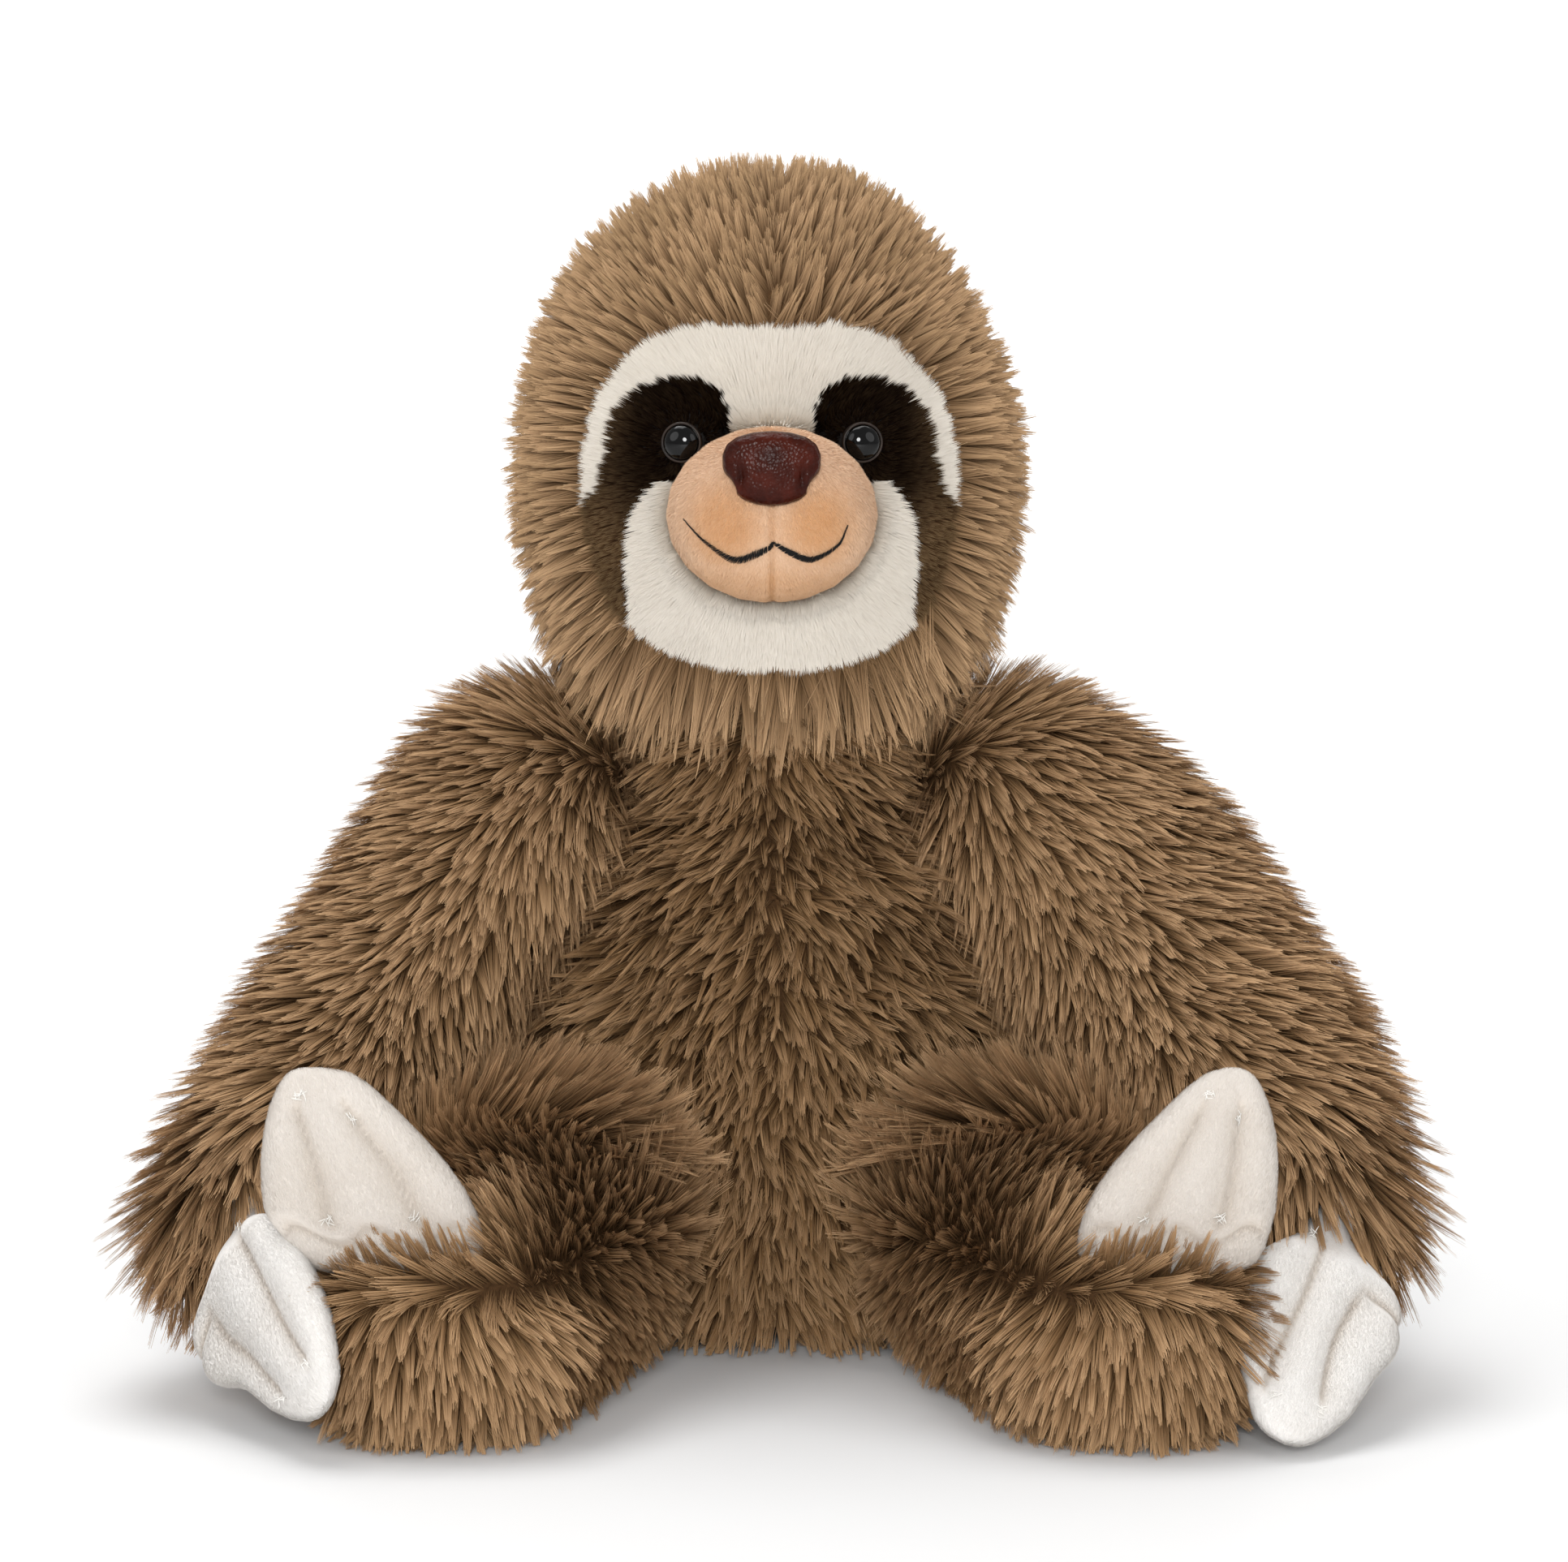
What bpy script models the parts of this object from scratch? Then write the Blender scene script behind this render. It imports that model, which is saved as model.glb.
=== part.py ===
"""Seated plush sloth: sewn panels over stuffing, with a nodding head, arms and legs that lift, and hands
and foot claws that flex.

Metres, +Z up, -Y the way the toy faces, +X its own left. The origin lies on the ground under the middle of
the seat. Each plush panel is its backing with the standing pile, so its surface lies inside the fur tips.
"""

import math
from typing import NamedTuple

import bmesh
import bpy
import numpy as np
from mathutils import Matrix, Vector
from mathutils.bvhtree import BVHTree

# Clearances and fabrics
SEAM_GAP = 0.0003
JOINT_GAP = 0.0007
BALL_GAP = 0.0003
PLUSH_WALL = 0.0065
VELBOA_WALL = 0.003
VELOUR_WALL = 0.0025
CUT_OVERRUN = 0.02
FLOOR_CUT = 0.0005

# Torso
TORSO_HEIGHT = 0.172
TORSO_HALF_WIDTH = 0.076
TORSO_HALF_DEPTH = 0.062
TORSO_SET_BACK = 0.002
TORSO_SIDES = 10
SEAT_HALF_WIDTH = 0.042
SEAT_HALF_DEPTH = 0.034
NECK_RADIUS = 0.041
NECK_HEIGHT = 0.176
NECK_SET_BACK = 0.005
# Height, half width and half depth at each level, as shares of the sizes above
TORSO_LEVEL_SHARES = (
    (0.00, 0.44, 0.46),
    (0.00, 0.68, 0.70),
    (0.06, 0.92, 0.93),
    (0.27, 1.01, 1.00),
    (0.52, 0.96, 0.97),
    (0.76, 0.81, 0.84),
    (0.96, 0.60, 0.665),
)
NECK_RISE_SHARE = 0.45
NECK_REACH_SHARE = 0.75

# Head
HEAD_HEIGHT = 0.164
HEAD_HALF_WIDTH = 0.0745
HEAD_HALF_DEPTH = 0.066
HEAD_BOTTOM = 0.188
HEAD_SIDES = 10
# Height, half width, half depth and set back at each level, as shares of the sizes above
HEAD_LEVEL_SHARES = (
    (0.00, 0.59, 0.63, 0.05),
    (0.09, 0.80, 0.83, 0.03),
    (0.245, 0.965, 0.98, 0.02),
    (0.45, 1.015, 1.02, 0.03),
    (0.665, 0.95, 0.975, 0.05),
    (0.84, 0.745, 0.78, 0.075),
    (0.96, 0.45, 0.49, 0.105),
    (1.00, 0.16, 0.18, 0.12),
)

# Face, cut out of the front of the head
FACE_HALF_WIDTH = 0.0555
FACE_HEIGHT = 0.101
FACE_BOTTOM = 0.2075
FACE_BACK = -0.005
# Outline of the left half from the top down, as shares of the half width and the height
FACE_HALF_SHARES = (
    (0.00, 0.985),
    (0.36, 1.00),
    (0.68, 0.95),
    (0.87, 0.84),
    (0.965, 0.71),
    (1.00, 0.55),
    (0.97, 0.37),
    (0.87, 0.19),
    (0.64, 0.065),
    (0.34, 0.01),
    (0.00, -0.005),
)
PATCH_SHARES = (
    (0.20, 0.725),
    (0.29, 0.81),
    (0.47, 0.845),
    (0.68, 0.825),
    (0.82, 0.76),
    (0.875, 0.66),
    (0.905, 0.54),
    (1.05, 0.42),
    (1.05, 0.26),
    (0.88, 0.125),
    (0.775, 0.16),
    (0.785, 0.31),
    (0.755, 0.44),
    (0.65, 0.535),
    (0.48, 0.565),
    (0.30, 0.575),
    (0.19, 0.63),
)
CHEEK_SHARES = (
    (-1.15, -0.20),
    (-1.15, 0.14),
    (-0.86, 0.30),
    (-0.82, 0.46),
    (-0.56, 0.64),
    (0.56, 0.64),
    (0.82, 0.46),
    (0.86, 0.30),
    (1.15, 0.14),
    (1.15, -0.20),
)
OUTLINE_STEPS = 2

# Muzzle
MUZZLE_HALF_WIDTH = 0.0310
MUZZLE_HALF_HEIGHT = 0.0258
MUZZLE_LENGTH = 0.054
MUZZLE_FRONT = -0.0945
MUZZLE_HEIGHT = 0.254
MUZZLE_SIDES = 10
# Way back from the front, half width, half height and rise at each ring
MUZZLE_RING_SHARES = (
    (0.00, 0.40, 0.40, 0.15),
    (0.09, 0.73, 0.74, 0.10),
    (0.27, 0.95, 0.96, 0.04),
    (0.58, 1.02, 1.02, 0.00),
    (1.00, 0.97, 0.97, 0.00),
)
MOUTH_THREAD_RADIUS = 0.0008
MOUTH_HALF_SPAN = 0.0225
MOUTH_RISE = 0.0105
MOUTH_PEAK = 0.0045
MOUTH_DIP_SHARE = 0.48
MOUTH_LOW = 0.2435
MOUTH_STEPS = 8

# Nose
NOSE_HALF_WIDTH = 0.0138
NOSE_HALF_HEIGHT = 0.0106
NOSE_DEPTH = 0.013
NOSE_HEIGHT = 0.269
NOSE_PROUD = 0.006
NOSE_TAPER_SHARE = 0.16
NOSE_SIDES = 10
# Way back from the tip and size at each ring
NOSE_RING_SHARES = ((1.00, 0.98), (0.45, 1.03), (0.12, 0.98), (0.00, 0.74))
NOSTRIL_RADIUS = 0.0026
NOSTRIL_SPREAD = 0.0126
NOSTRIL_DROP = 0.0062

# Eyes and the washers behind the skin
EYE_RADIUS = 0.0054
EYE_DOME = 0.0046
EYE_RIM = 0.0007
EYE_SPREAD = 0.0258
EYE_HEIGHT = 0.275
EYE_TURN = math.radians(14)
EYE_SEGMENT_ANGLES = (22.5, 45, 67.5, 90)
SHANK_RADIUS = 0.0019
SHANK_TAIL = 0.0025
WASHER_RADIUS = 0.0055
WASHER_THICKNESS = 0.0014
WASHER_BACKING = 0.0016
NOSE_WASHER_BACKING = 0.0060
TURNED_STEPS = 16

# Arms
SHOULDER_SPREAD = 0.074
SHOULDER_HEIGHT = 0.162
SHOULDER_RADIUS = 0.033
ARM_LENGTH = 0.182
ARM_BOW = 0.005
ARM_SIDES = 8
ARM_FLEX = math.radians(80)
ARM_HALF_BREADTHS = {"left": 0.029, "right": 0.0255}
ARM_HALF_DEPTHS = {"left": 0.0235, "right": 0.0255}
ARM_DIRECTIONS = {"left": (0.5015, -0.484, -0.7175), "right": (-0.493, -0.483, -0.721)}
# Way back from the pivot and radius, as shares of the shoulder ball's radius
SHOULDER_RING_SHARES = ((-0.91, 0.40), (-0.52, 0.87), (0.06, 1.03))
# Way down the arm, breadth, depth and bow at each ring past the shoulder ball
ARM_RING_SHARES = (
    (0.18, 1.10, 1.14, 0.5),
    (0.46, 0.95, 0.94, 1.2),
    (0.78, 1.05, 1.03, 0.7),
    (0.95, 0.95, 0.93, 0.1),
    (1.00, 0.52, 0.52, 0.0),
)

# Hands
HAND_LENGTHS = {"left": 0.089, "right": 0.093}
HAND_HALF_WIDTH = 0.0198
HAND_HALF_THICKNESS = 0.0090
HAND_FLEX = math.radians(30)
WRIST_RADIUS = 0.0095
WRIST_WAY_SHARE = 0.923
WRIST_PROUD = 0.026
WRIST_OUTWARD = {"left": 0.009, "right": 0.009}
HAND_DIRECTIONS = {"left": (-0.292, -0.739, -0.607), "right": (0.466, -0.763, -0.448)}
HAND_BREADTHS = {"left": (0.95, 0.20, -0.30), "right": (0.60, -0.50, 0.80)}
# Way from the wrist, half width and half thickness at each ring
HAND_RING_SHARES = (
    (-0.085, 0.28, 0.60),
    (0.10, 0.58, 0.98),
    (0.38, 1.03, 1.08),
    (0.68, 0.97, 1.00),
    (0.91, 0.62, 0.74),
    (1.00, 0.27, 0.33),
)
# Where the points of a section with three fused fingers lie: crests, grooves and edges
FINGER_ANGLES = (0, 48, 70, 90, 110, 132, 180, 228, 250, 270, 290, 312)
FINGER_GROOVE_SHARE = 0.28
FINGER_SQUARENESS = 2.5

# Legs
HIP_SPREAD = 0.056
HIP_FORWARD = 0.038
HIP_HEIGHT = 0.040
HIP_RADIUS = 0.020
LEG_LENGTH = 0.120
LEG_SPREADS = {"left": 0.044, "right": 0.037}
LEG_HALF_WIDTH = 0.040
LEG_HALF_HEIGHT = 0.039
LEG_SIDES = 8
LEG_SQUARENESS = 2.0
LEG_LIFT = math.radians(20)
# Way forward, way out, height of the middle, half width and half height at each ring
LEG_RING_SHARES = (
    (-0.17, -0.04, 1.03, 0.33, 0.35),
    (0.07, 0.08, 1.03, 0.78, 0.82),
    (0.27, 0.34, 1.02, 0.98, 1.035),
    (0.50, 0.63, 0.96, 1.03, 1.00),
    (0.78, 0.93, 0.81, 1.00, 0.845),
    (0.94, 1.00, 0.73, 0.84, 0.69),
    (1.00, 1.01, 0.71, 0.46, 0.38),
)

# Foot claws
CLAWS_HEIGHT = 0.053
CLAWS_HALF_WIDTH = 0.0295
CLAWS_HALF_THICKNESS = 0.0085
CLAWS_LEAN = 0.017
CLAWS_FLEX = math.radians(25)
CLAWS_ROOT_RADIUS = 0.0078
CLAWS_ROOT_HEIGHT = 0.0525
CLAWS_ROOT_WAY_SHARE = 0.86
CLAWS_ROOT_OUTS = {"left": 0.011, "right": 0.0131}
CLAWS_RAKE = math.radians(8)
# Way up, half width, half thickness and lean at each ring
CLAWS_RING_SHARES = (
    (-0.125, 0.84, 0.55, 0.0),
    (0.00, 0.97, 0.94, 0.0),
    (0.20, 0.98, 1.00, 0.10),
    (0.46, 0.86, 1.05, 0.38),
    (0.77, 0.53, 0.86, 0.80),
    (1.00, 0.19, 0.32, 1.00),
)

# Colour, roughness and metallic value of each fabric and moulding
FINISHES = {
    "body_plush": ((0.26, 0.165, 0.09), 0.95, 0.0),
    "head_plush": ((0.36, 0.24, 0.14), 0.95, 0.0),
    "white_plush": ((0.86, 0.85, 0.82), 0.9, 0.0),
    "dark_plush": ((0.05, 0.032, 0.02), 0.9, 0.0),
    "muzzle_velour": ((0.78, 0.52, 0.34), 0.85, 0.0),
    "white_velboa": ((0.88, 0.87, 0.84), 0.85, 0.0),
    "black_thread": ((0.015, 0.013, 0.013), 0.6, 0.0),
    "nose_plastic": ((0.10, 0.012, 0.012), 0.18, 0.0),
    "eye_plastic": ((0.01, 0.009, 0.009), 0.08, 0.0),
    "washer_plastic": ((0.8, 0.8, 0.78), 0.5, 0.0),
    "stuffing": ((0.92, 0.92, 0.9), 1.0, 0.0),
}
SIDES = {"left": 1, "right": -1}
SWEEP_STEPS = 2
NECK_BALL_FACETS = 26
LARGE_BALL_FACETS = 20
SMALL_BALL_FACETS = 14


class Ring(NamedTuple):
    """One section of a soft form: its way along the form, its offsets and its half sizes."""

    along: float
    half_across: float
    half_up: float
    across: float = 0.0
    up: float = 0.0


class Limb(NamedTuple):
    """An arm, a hand, a leg or a foot's claws: its side, its form, its pivot, its hinge axis and its range."""

    side: str
    form: "SoftForm"
    place: Vector
    axis: Vector
    flex: float


def clear_scene():
    """Removes whatever the scene holds, with its collections."""
    for obj in list(bpy.data.objects):
        bpy.data.objects.remove(obj, do_unlink=True)
    for collection in list(bpy.data.collections):
        bpy.data.collections.remove(collection)


def new_collection(name):
    """Adds a collection to the scene."""
    collection = bpy.data.collections.new(name)
    bpy.context.scene.collection.children.link(collection)
    return collection


def finish(name):
    """The material of that name, made from FINISHES when it is first asked for."""
    if name in bpy.data.materials:
        return bpy.data.materials[name]
    colour, roughness, metallic = FINISHES[name]
    material = bpy.data.materials.new(name)
    material.use_nodes = True
    shader = material.node_tree.nodes["Principled BSDF"]
    shader.inputs["Base Color"].default_value = (*colour, 1.0)
    shader.inputs["Roughness"].default_value = roughness
    shader.inputs["Metallic"].default_value = metallic
    material.diffuse_color = (*colour, 1.0)
    return material


def add_object(name, mesh, collection):
    """Puts a mesh in the scene as an object."""
    obj = bpy.data.objects.new(name, mesh)
    collection.objects.link(obj)
    return obj


def as_guide(obj):
    """Marks an object as a cutter or a guide, which a render leaves out."""
    obj.hide_render = True
    obj.display_type = "WIRE"
    return obj


def frame_of(origin, across, along):
    """A frame at origin whose Z runs along, whose X lies as near to across as it can, and whose Y follows."""
    along = Vector(along).normalized()
    across = Vector(across)
    across = (across - along * across.dot(along)).normalized()
    matrix = Matrix((across, along.cross(across), along)).transposed().to_4x4()
    matrix.translation = Vector(origin)
    return matrix


def evaluated_mesh(obj):
    """The object's mesh with its modifiers applied, in its own space."""
    bpy.context.view_layer.update()
    graph = bpy.context.evaluated_depsgraph_get()
    return bpy.data.meshes.new_from_object(obj.evaluated_get(graph))


def boolean(obj, other, operation):
    """Adds a Boolean with another object, by a solver that bears the soft forms' grazing cuts."""
    modifier = obj.modifiers.new(f"{operation.lower()}_{other.name}", "BOOLEAN")
    modifier.operation = operation
    modifier.object = other
    modifier.solver = "MANIFOLD"


class SoftForm:
    """A closed form that swells and tapers along a line, which can be drawn in by the thickness of a wall."""

    def __init__(self, rings, frame, angles, squareness=2.0, groove=0.0, taper=0.0):
        self.rings = rings
        self.frame = frame
        self.angles = angles
        self.squareness = squareness
        self.groove = groove
        self.taper = taper

    def section(self, ring, inset, fullness):
        """The points of one ring, drawn in by inset."""
        half_across = max(ring.half_across - inset, ring.half_across * 0.2)
        half_up = max(ring.half_up - inset, ring.half_up * 0.2)
        for angle in self.angles:
            c = math.cos(math.radians(angle))
            s = math.sin(math.radians(angle))
            dent = 1 - self.groove * math.sin(1.5 * math.pi * c) ** 2
            c = math.copysign(abs(c) ** (2 / self.squareness), c)
            s = math.copysign(abs(s) ** (2 / self.squareness), s)
            across = ring.across + half_across * fullness * c * (1 + self.taper * s)
            up = ring.up + half_up * fullness * s * dent
            yield across, up

    def mesh(self, name, inset, outer):
        """The cage of the form, drawn in by inset: round what it stands for if outer, else within it."""
        sides = len(self.angles)
        fullness = 4 / (3 + math.cos(math.tau / sides)) if outer else 1.0
        first = self.rings[0].along
        last = self.rings[-1].along
        middle = (first + last) / 2
        shrink = 1 - inset / (abs(last - first) / 2)
        cage = bmesh.new()
        loops = []
        for ring in self.rings:
            along = middle + (ring.along - middle) * shrink
            points = [self.frame @ Vector((x, y, along)) for x, y in self.section(ring, inset, fullness)]
            loops.append([cage.verts.new(point) for point in points])
        for lower, upper in zip(loops, loops[1:]):
            for step in range(sides):
                after = (step + 1) % sides
                if outer:
                    cage.faces.new((lower[step], lower[after], upper[after], upper[step]))
                else:
                    cage.faces.new((lower[step], lower[after], upper[after]))
                    cage.faces.new((lower[step], upper[after], upper[step]))
        cage.faces.new(loops[0])
        cage.faces.new(loops[-1])
        bmesh.ops.recalc_face_normals(cage, faces=cage.faces)
        mesh = bpy.data.meshes.new(name)
        cage.to_mesh(mesh)
        cage.free()
        mesh.shade_smooth()
        return mesh


def even_angles(sides):
    """Angles in degrees of evenly spaced points, none of them on an axis."""
    return [360 * (step + 0.5) / sides for step in range(sides)]


def rounded_object(name, form, inset, collection):
    """An object of a soft form, rounded by Subdivision Surface."""
    obj = add_object(name, form.mesh(name, inset, True), collection)
    rounding = obj.modifiers.new("rounding", "SUBSURF")
    rounding.levels = 1
    rounding.render_levels = 1
    return obj


class Builder:
    """Makes the toy's bodies one after another, and keeps the cutters that they share."""

    def __init__(self):
        self.parts = new_collection("plush_sloth")
        self.guides = new_collection("cutters")
        self.floor = self.floor_block()

    def floor_block(self):
        """The ground, which cuts flat whatever the toy stands on."""
        reach = HEAD_BOTTOM + HEAD_HEIGHT + CUT_OVERRUN
        return self.block("ground", (-reach, -reach, -reach), (reach, reach, 0.0))

    def block(self, name, low, high, frame=None):
        """A rectangular cutter between two corners, in a frame."""
        mesh = bpy.data.meshes.new(name)
        cage = bmesh.new()
        bmesh.ops.create_cube(cage, size=1.0)
        size = Vector(high) - Vector(low)
        bmesh.ops.scale(cage, vec=size, verts=cage.verts)
        bmesh.ops.translate(cage, vec=(Vector(low) + Vector(high)) / 2, verts=cage.verts)
        cage.to_mesh(mesh)
        cage.free()
        if frame is not None:
            mesh.transform(frame)
        return as_guide(add_object(name, mesh, self.guides))

    def half_space(self, name, frame, axis, sign):
        """A block on one side of a seam plane through a frame's origin, half a seam's gap away from it."""
        reach = HEAD_BOTTOM + HEAD_HEIGHT + CUT_OVERRUN
        low = [-reach] * 3
        high = [reach] * 3
        if sign > 0:
            low[axis] = SEAM_GAP / 2
        else:
            high[axis] = -SEAM_GAP / 2
        return self.block(name, low, high, frame)

    def ball(self, name, centre, radius, facets=LARGE_BALL_FACETS, outer=True):
        """A ball cutter, whose facets lie round the true ball if outer, else within it."""
        rings = facets // 2
        reach = radius / math.cos(math.pi / facets) / math.cos(math.pi / rings / 2) if outer else radius
        mesh = bpy.data.meshes.new(name)
        cage = bmesh.new()
        bmesh.ops.create_uvsphere(cage, u_segments=facets, v_segments=rings, radius=reach)
        bmesh.ops.translate(cage, vec=Vector(centre), verts=cage.verts)
        cage.to_mesh(mesh)
        cage.free()
        return as_guide(add_object(name, mesh, self.guides))

    def rod(self, name, frame, radius, start, end, segments=20):
        """A cylinder cutter along a frame's Z."""
        mesh = bpy.data.meshes.new(name)
        cage = bmesh.new()
        bmesh.ops.create_cone(
            cage, cap_ends=True, segments=segments, radius1=radius, radius2=radius, depth=end - start
        )
        bmesh.ops.translate(cage, vec=(0, 0, (start + end) / 2), verts=cage.verts)
        cage.to_mesh(mesh)
        cage.free()
        mesh.transform(frame)
        return as_guide(add_object(name, mesh, self.guides))

    def oval(self, name, half_width, half_depth, low, high, sides=32):
        """An upright oval cutter round the middle of the seat."""
        guide = self.rod(name, Matrix(), 1.0, low, high, sides)
        guide.data.transform(Matrix.Diagonal((half_width, half_depth, 1.0, 1.0)))
        return guide

    def rounded_guide(self, name, form, inset):
        """A rounded soft form as a cutter."""
        return as_guide(rounded_object(name, form, inset, self.guides))

    def cage_guide(self, name, form, inset, outer=False):
        """A plain faceted form as a cutter: round the rounded one if outer, else within it."""
        return as_guide(add_object(name, form.mesh(name, inset, outer), self.guides))

    def sweep(self, name, form, limb, turn):
        """One cutter for the way of a form, grown by a joint's gap, as it turns about a limb's hinge."""
        whole = self.cage_guide(name, form, -JOINT_GAP, True)
        for step in range(1, SWEEP_STEPS + 1):
            guide = self.cage_guide(f"{name}_{step}", form, -JOINT_GAP, True)
            spin = Matrix.Rotation(turn * step / SWEEP_STEPS, 4, limb.axis)
            guide.data.transform(Matrix.Translation(limb.place) @ spin @ Matrix.Translation(-limb.place))
            boolean(whole, guide, "UNION")
        return whole

    def dress(self, obj, material, keeps, cuts, adds=()):
        """Trims a soft piece to what lies inside some guides and outside others, and gives it its fabric."""
        for more in adds:
            boolean(obj, more, "UNION")
        for keep in keeps:
            boolean(obj, keep, "INTERSECT")
        for cutter in cuts:
            boolean(obj, cutter, "DIFFERENCE")
        obj.data.materials.append(finish(material))
        return obj

    def skin(self, name, form, material, keeps, cuts, adds=()):
        """A rounded piece of the outside."""
        return self.dress(rounded_object(name, form, 0.0, self.parts), material, keeps, cuts, adds)

    def stuffing(self, name, form, wall, cuts, adds=()):
        """The fibre that fills a form behind a wall."""
        obj = add_object(name, form.mesh(name, wall + SEAM_GAP, False), self.parts)
        return self.dress(obj, "stuffing", (), cuts, adds)

    def neck_ball(self, name, radius, outer=False):
        """A ball cutter round the neck's pivot."""
        return self.ball(name, (0, NECK_SET_BACK, NECK_HEIGHT), radius, NECK_BALL_FACETS, outer)

    def outline_prism(self, name, points, spread):
        """A prism through the head's front whose outline runs through points, moved out by spread."""
        outline = spread_outline(points, spread)
        curve = bpy.data.curves.new(name, "CURVE")
        curve.dimensions = "2D"
        curve.fill_mode = "BOTH"
        front = MUZZLE_FRONT - CUT_OVERRUN
        curve.extrude = (FACE_BACK - front) / 2
        spline = curve.splines.new("POLY")
        spline.points.add(len(outline) - 1)
        for point, (x, z) in zip(spline.points, outline):
            point.co = (x, z, 0.0, 1.0)
        spline.use_cyclic_u = True
        mesh = welded_mesh(self, name, curve)
        mesh.transform(Matrix.Rotation(math.pi / 2, 4, "X"))
        mesh.transform(Matrix.Translation((0, (front + FACE_BACK) / 2, 0)))
        return as_guide(add_object(name, mesh, self.guides))

    def pivot(self, name, place, objects):
        """Hangs the pieces of a body on an empty at its joint."""
        empty = bpy.data.objects.new(name, None)
        empty.location = place
        self.parts.objects.link(empty)
        for obj in objects:
            obj.matrix_basis = Matrix.Translation(-Vector(place)) @ obj.matrix_basis
            obj.parent = empty
        return empty


def rounded_outline(shares, steps=OUTLINE_STEPS):
    """Points on a smooth closed curve through the given ones."""
    points = np.array(shares, float)
    before = np.roll(points, 1, axis=0)
    after = np.roll(points, -1, axis=0)
    beyond = np.roll(points, -2, axis=0)
    found = []
    for share in np.arange(steps) / steps:
        cubic = -before + 3 * points - 3 * after + beyond
        square = 2 * before - 5 * points + 4 * after - beyond
        found.append(points + (share * (after - before) + share**2 * square + share**3 * cubic) / 2)
    return np.stack(found, axis=1).reshape(-1, 2)


def spread_outline(points, spread):
    """A closed outline moved out along its normals."""
    points = np.array(points, float)
    along = np.roll(points, -1, axis=0) - np.roll(points, 1, axis=0)
    normal = np.stack([along[:, 1], -along[:, 0]], axis=1)
    normal /= np.linalg.norm(normal, axis=1, keepdims=True)
    x, z = points.T
    area = (x * np.roll(z, -1) - np.roll(x, -1) * z).sum() / 2
    return points + normal * spread * math.copysign(1, area)


def face_points(shares, side=1):
    """Shares of the face's half width and height as places on the head's front."""
    return [(side * x * FACE_HALF_WIDTH, FACE_BOTTOM + z * FACE_HEIGHT) for x, z in shares]


def surface_at(mesh, x, z):
    """The point and the normal where a line from the front first meets a mesh."""
    mesh.calc_loop_triangles()
    vertices = [vertex.co.copy() for vertex in mesh.vertices]
    triangles = [tuple(triangle.vertices) for triangle in mesh.loop_triangles]
    tree = BVHTree.FromPolygons(vertices, triangles)
    start = MUZZLE_FRONT - CUT_OVERRUN
    point, normal, _, _ = tree.ray_cast(Vector((x, start, z)), Vector((0, 1, 0)))
    return point, normal


def torso_form():
    """The pear-shaped torso, which closes inside the neck's ball."""
    rings = [
        Ring(
            height * TORSO_HEIGHT - FLOOR_CUT,
            width * TORSO_HALF_WIDTH,
            depth * TORSO_HALF_DEPTH,
            0,
            TORSO_SET_BACK,
        )
        for height, width, depth in TORSO_LEVEL_SHARES
    ]
    reach = NECK_REACH_SHARE * NECK_RADIUS
    rings.append(Ring(NECK_HEIGHT + NECK_RISE_SHARE * NECK_RADIUS, reach, reach, 0, NECK_SET_BACK))
    return SoftForm(rings, Matrix(), even_angles(TORSO_SIDES))


def head_form():
    """The egg-shaped head."""
    rings = [
        Ring(
            HEAD_BOTTOM + height * HEAD_HEIGHT,
            width * HEAD_HALF_WIDTH,
            depth * HEAD_HALF_DEPTH,
            0,
            back * HEAD_HALF_DEPTH,
        )
        for height, width, depth, back in HEAD_LEVEL_SHARES
    ]
    return SoftForm(rings, Matrix(), even_angles(HEAD_SIDES))


def muzzle_form():
    """The muzzle, a rounded bump that points forward."""
    frame = frame_of((0, MUZZLE_FRONT, MUZZLE_HEIGHT), (-1, 0, 0), (0, 1, 0))
    rings = [
        Ring(
            back * MUZZLE_LENGTH,
            width * MUZZLE_HALF_WIDTH,
            height * MUZZLE_HALF_HEIGHT,
            0,
            rise * MUZZLE_HALF_HEIGHT,
        )
        for back, width, height, rise in MUZZLE_RING_SHARES
    ]
    return SoftForm(rings, frame, even_angles(MUZZLE_SIDES))


def arm_limb(side):
    """An arm: a ball in the shoulder, then a tube that hangs down and forward to a rounded cuff."""
    sign = SIDES[side]
    place = Vector((sign * SHOULDER_SPREAD, 0, SHOULDER_HEIGHT))
    frame = frame_of(place, (1, 0, 0), ARM_DIRECTIONS[side])
    rings = [
        Ring(way * SHOULDER_RADIUS, reach * SHOULDER_RADIUS, reach * SHOULDER_RADIUS)
        for way, reach in SHOULDER_RING_SHARES
    ]
    for way, breadth, depth, bow in ARM_RING_SHARES:
        half_breadth = breadth * ARM_HALF_BREADTHS[side]
        half_depth = depth * ARM_HALF_DEPTHS[side]
        rings.append(Ring(way * ARM_LENGTH, half_breadth, half_depth, sign * bow * ARM_BOW))
    form = SoftForm(rings, frame, even_angles(ARM_SIDES))
    return Limb(side, form, place, Vector((0, -sign, 0)), ARM_FLEX)


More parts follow.
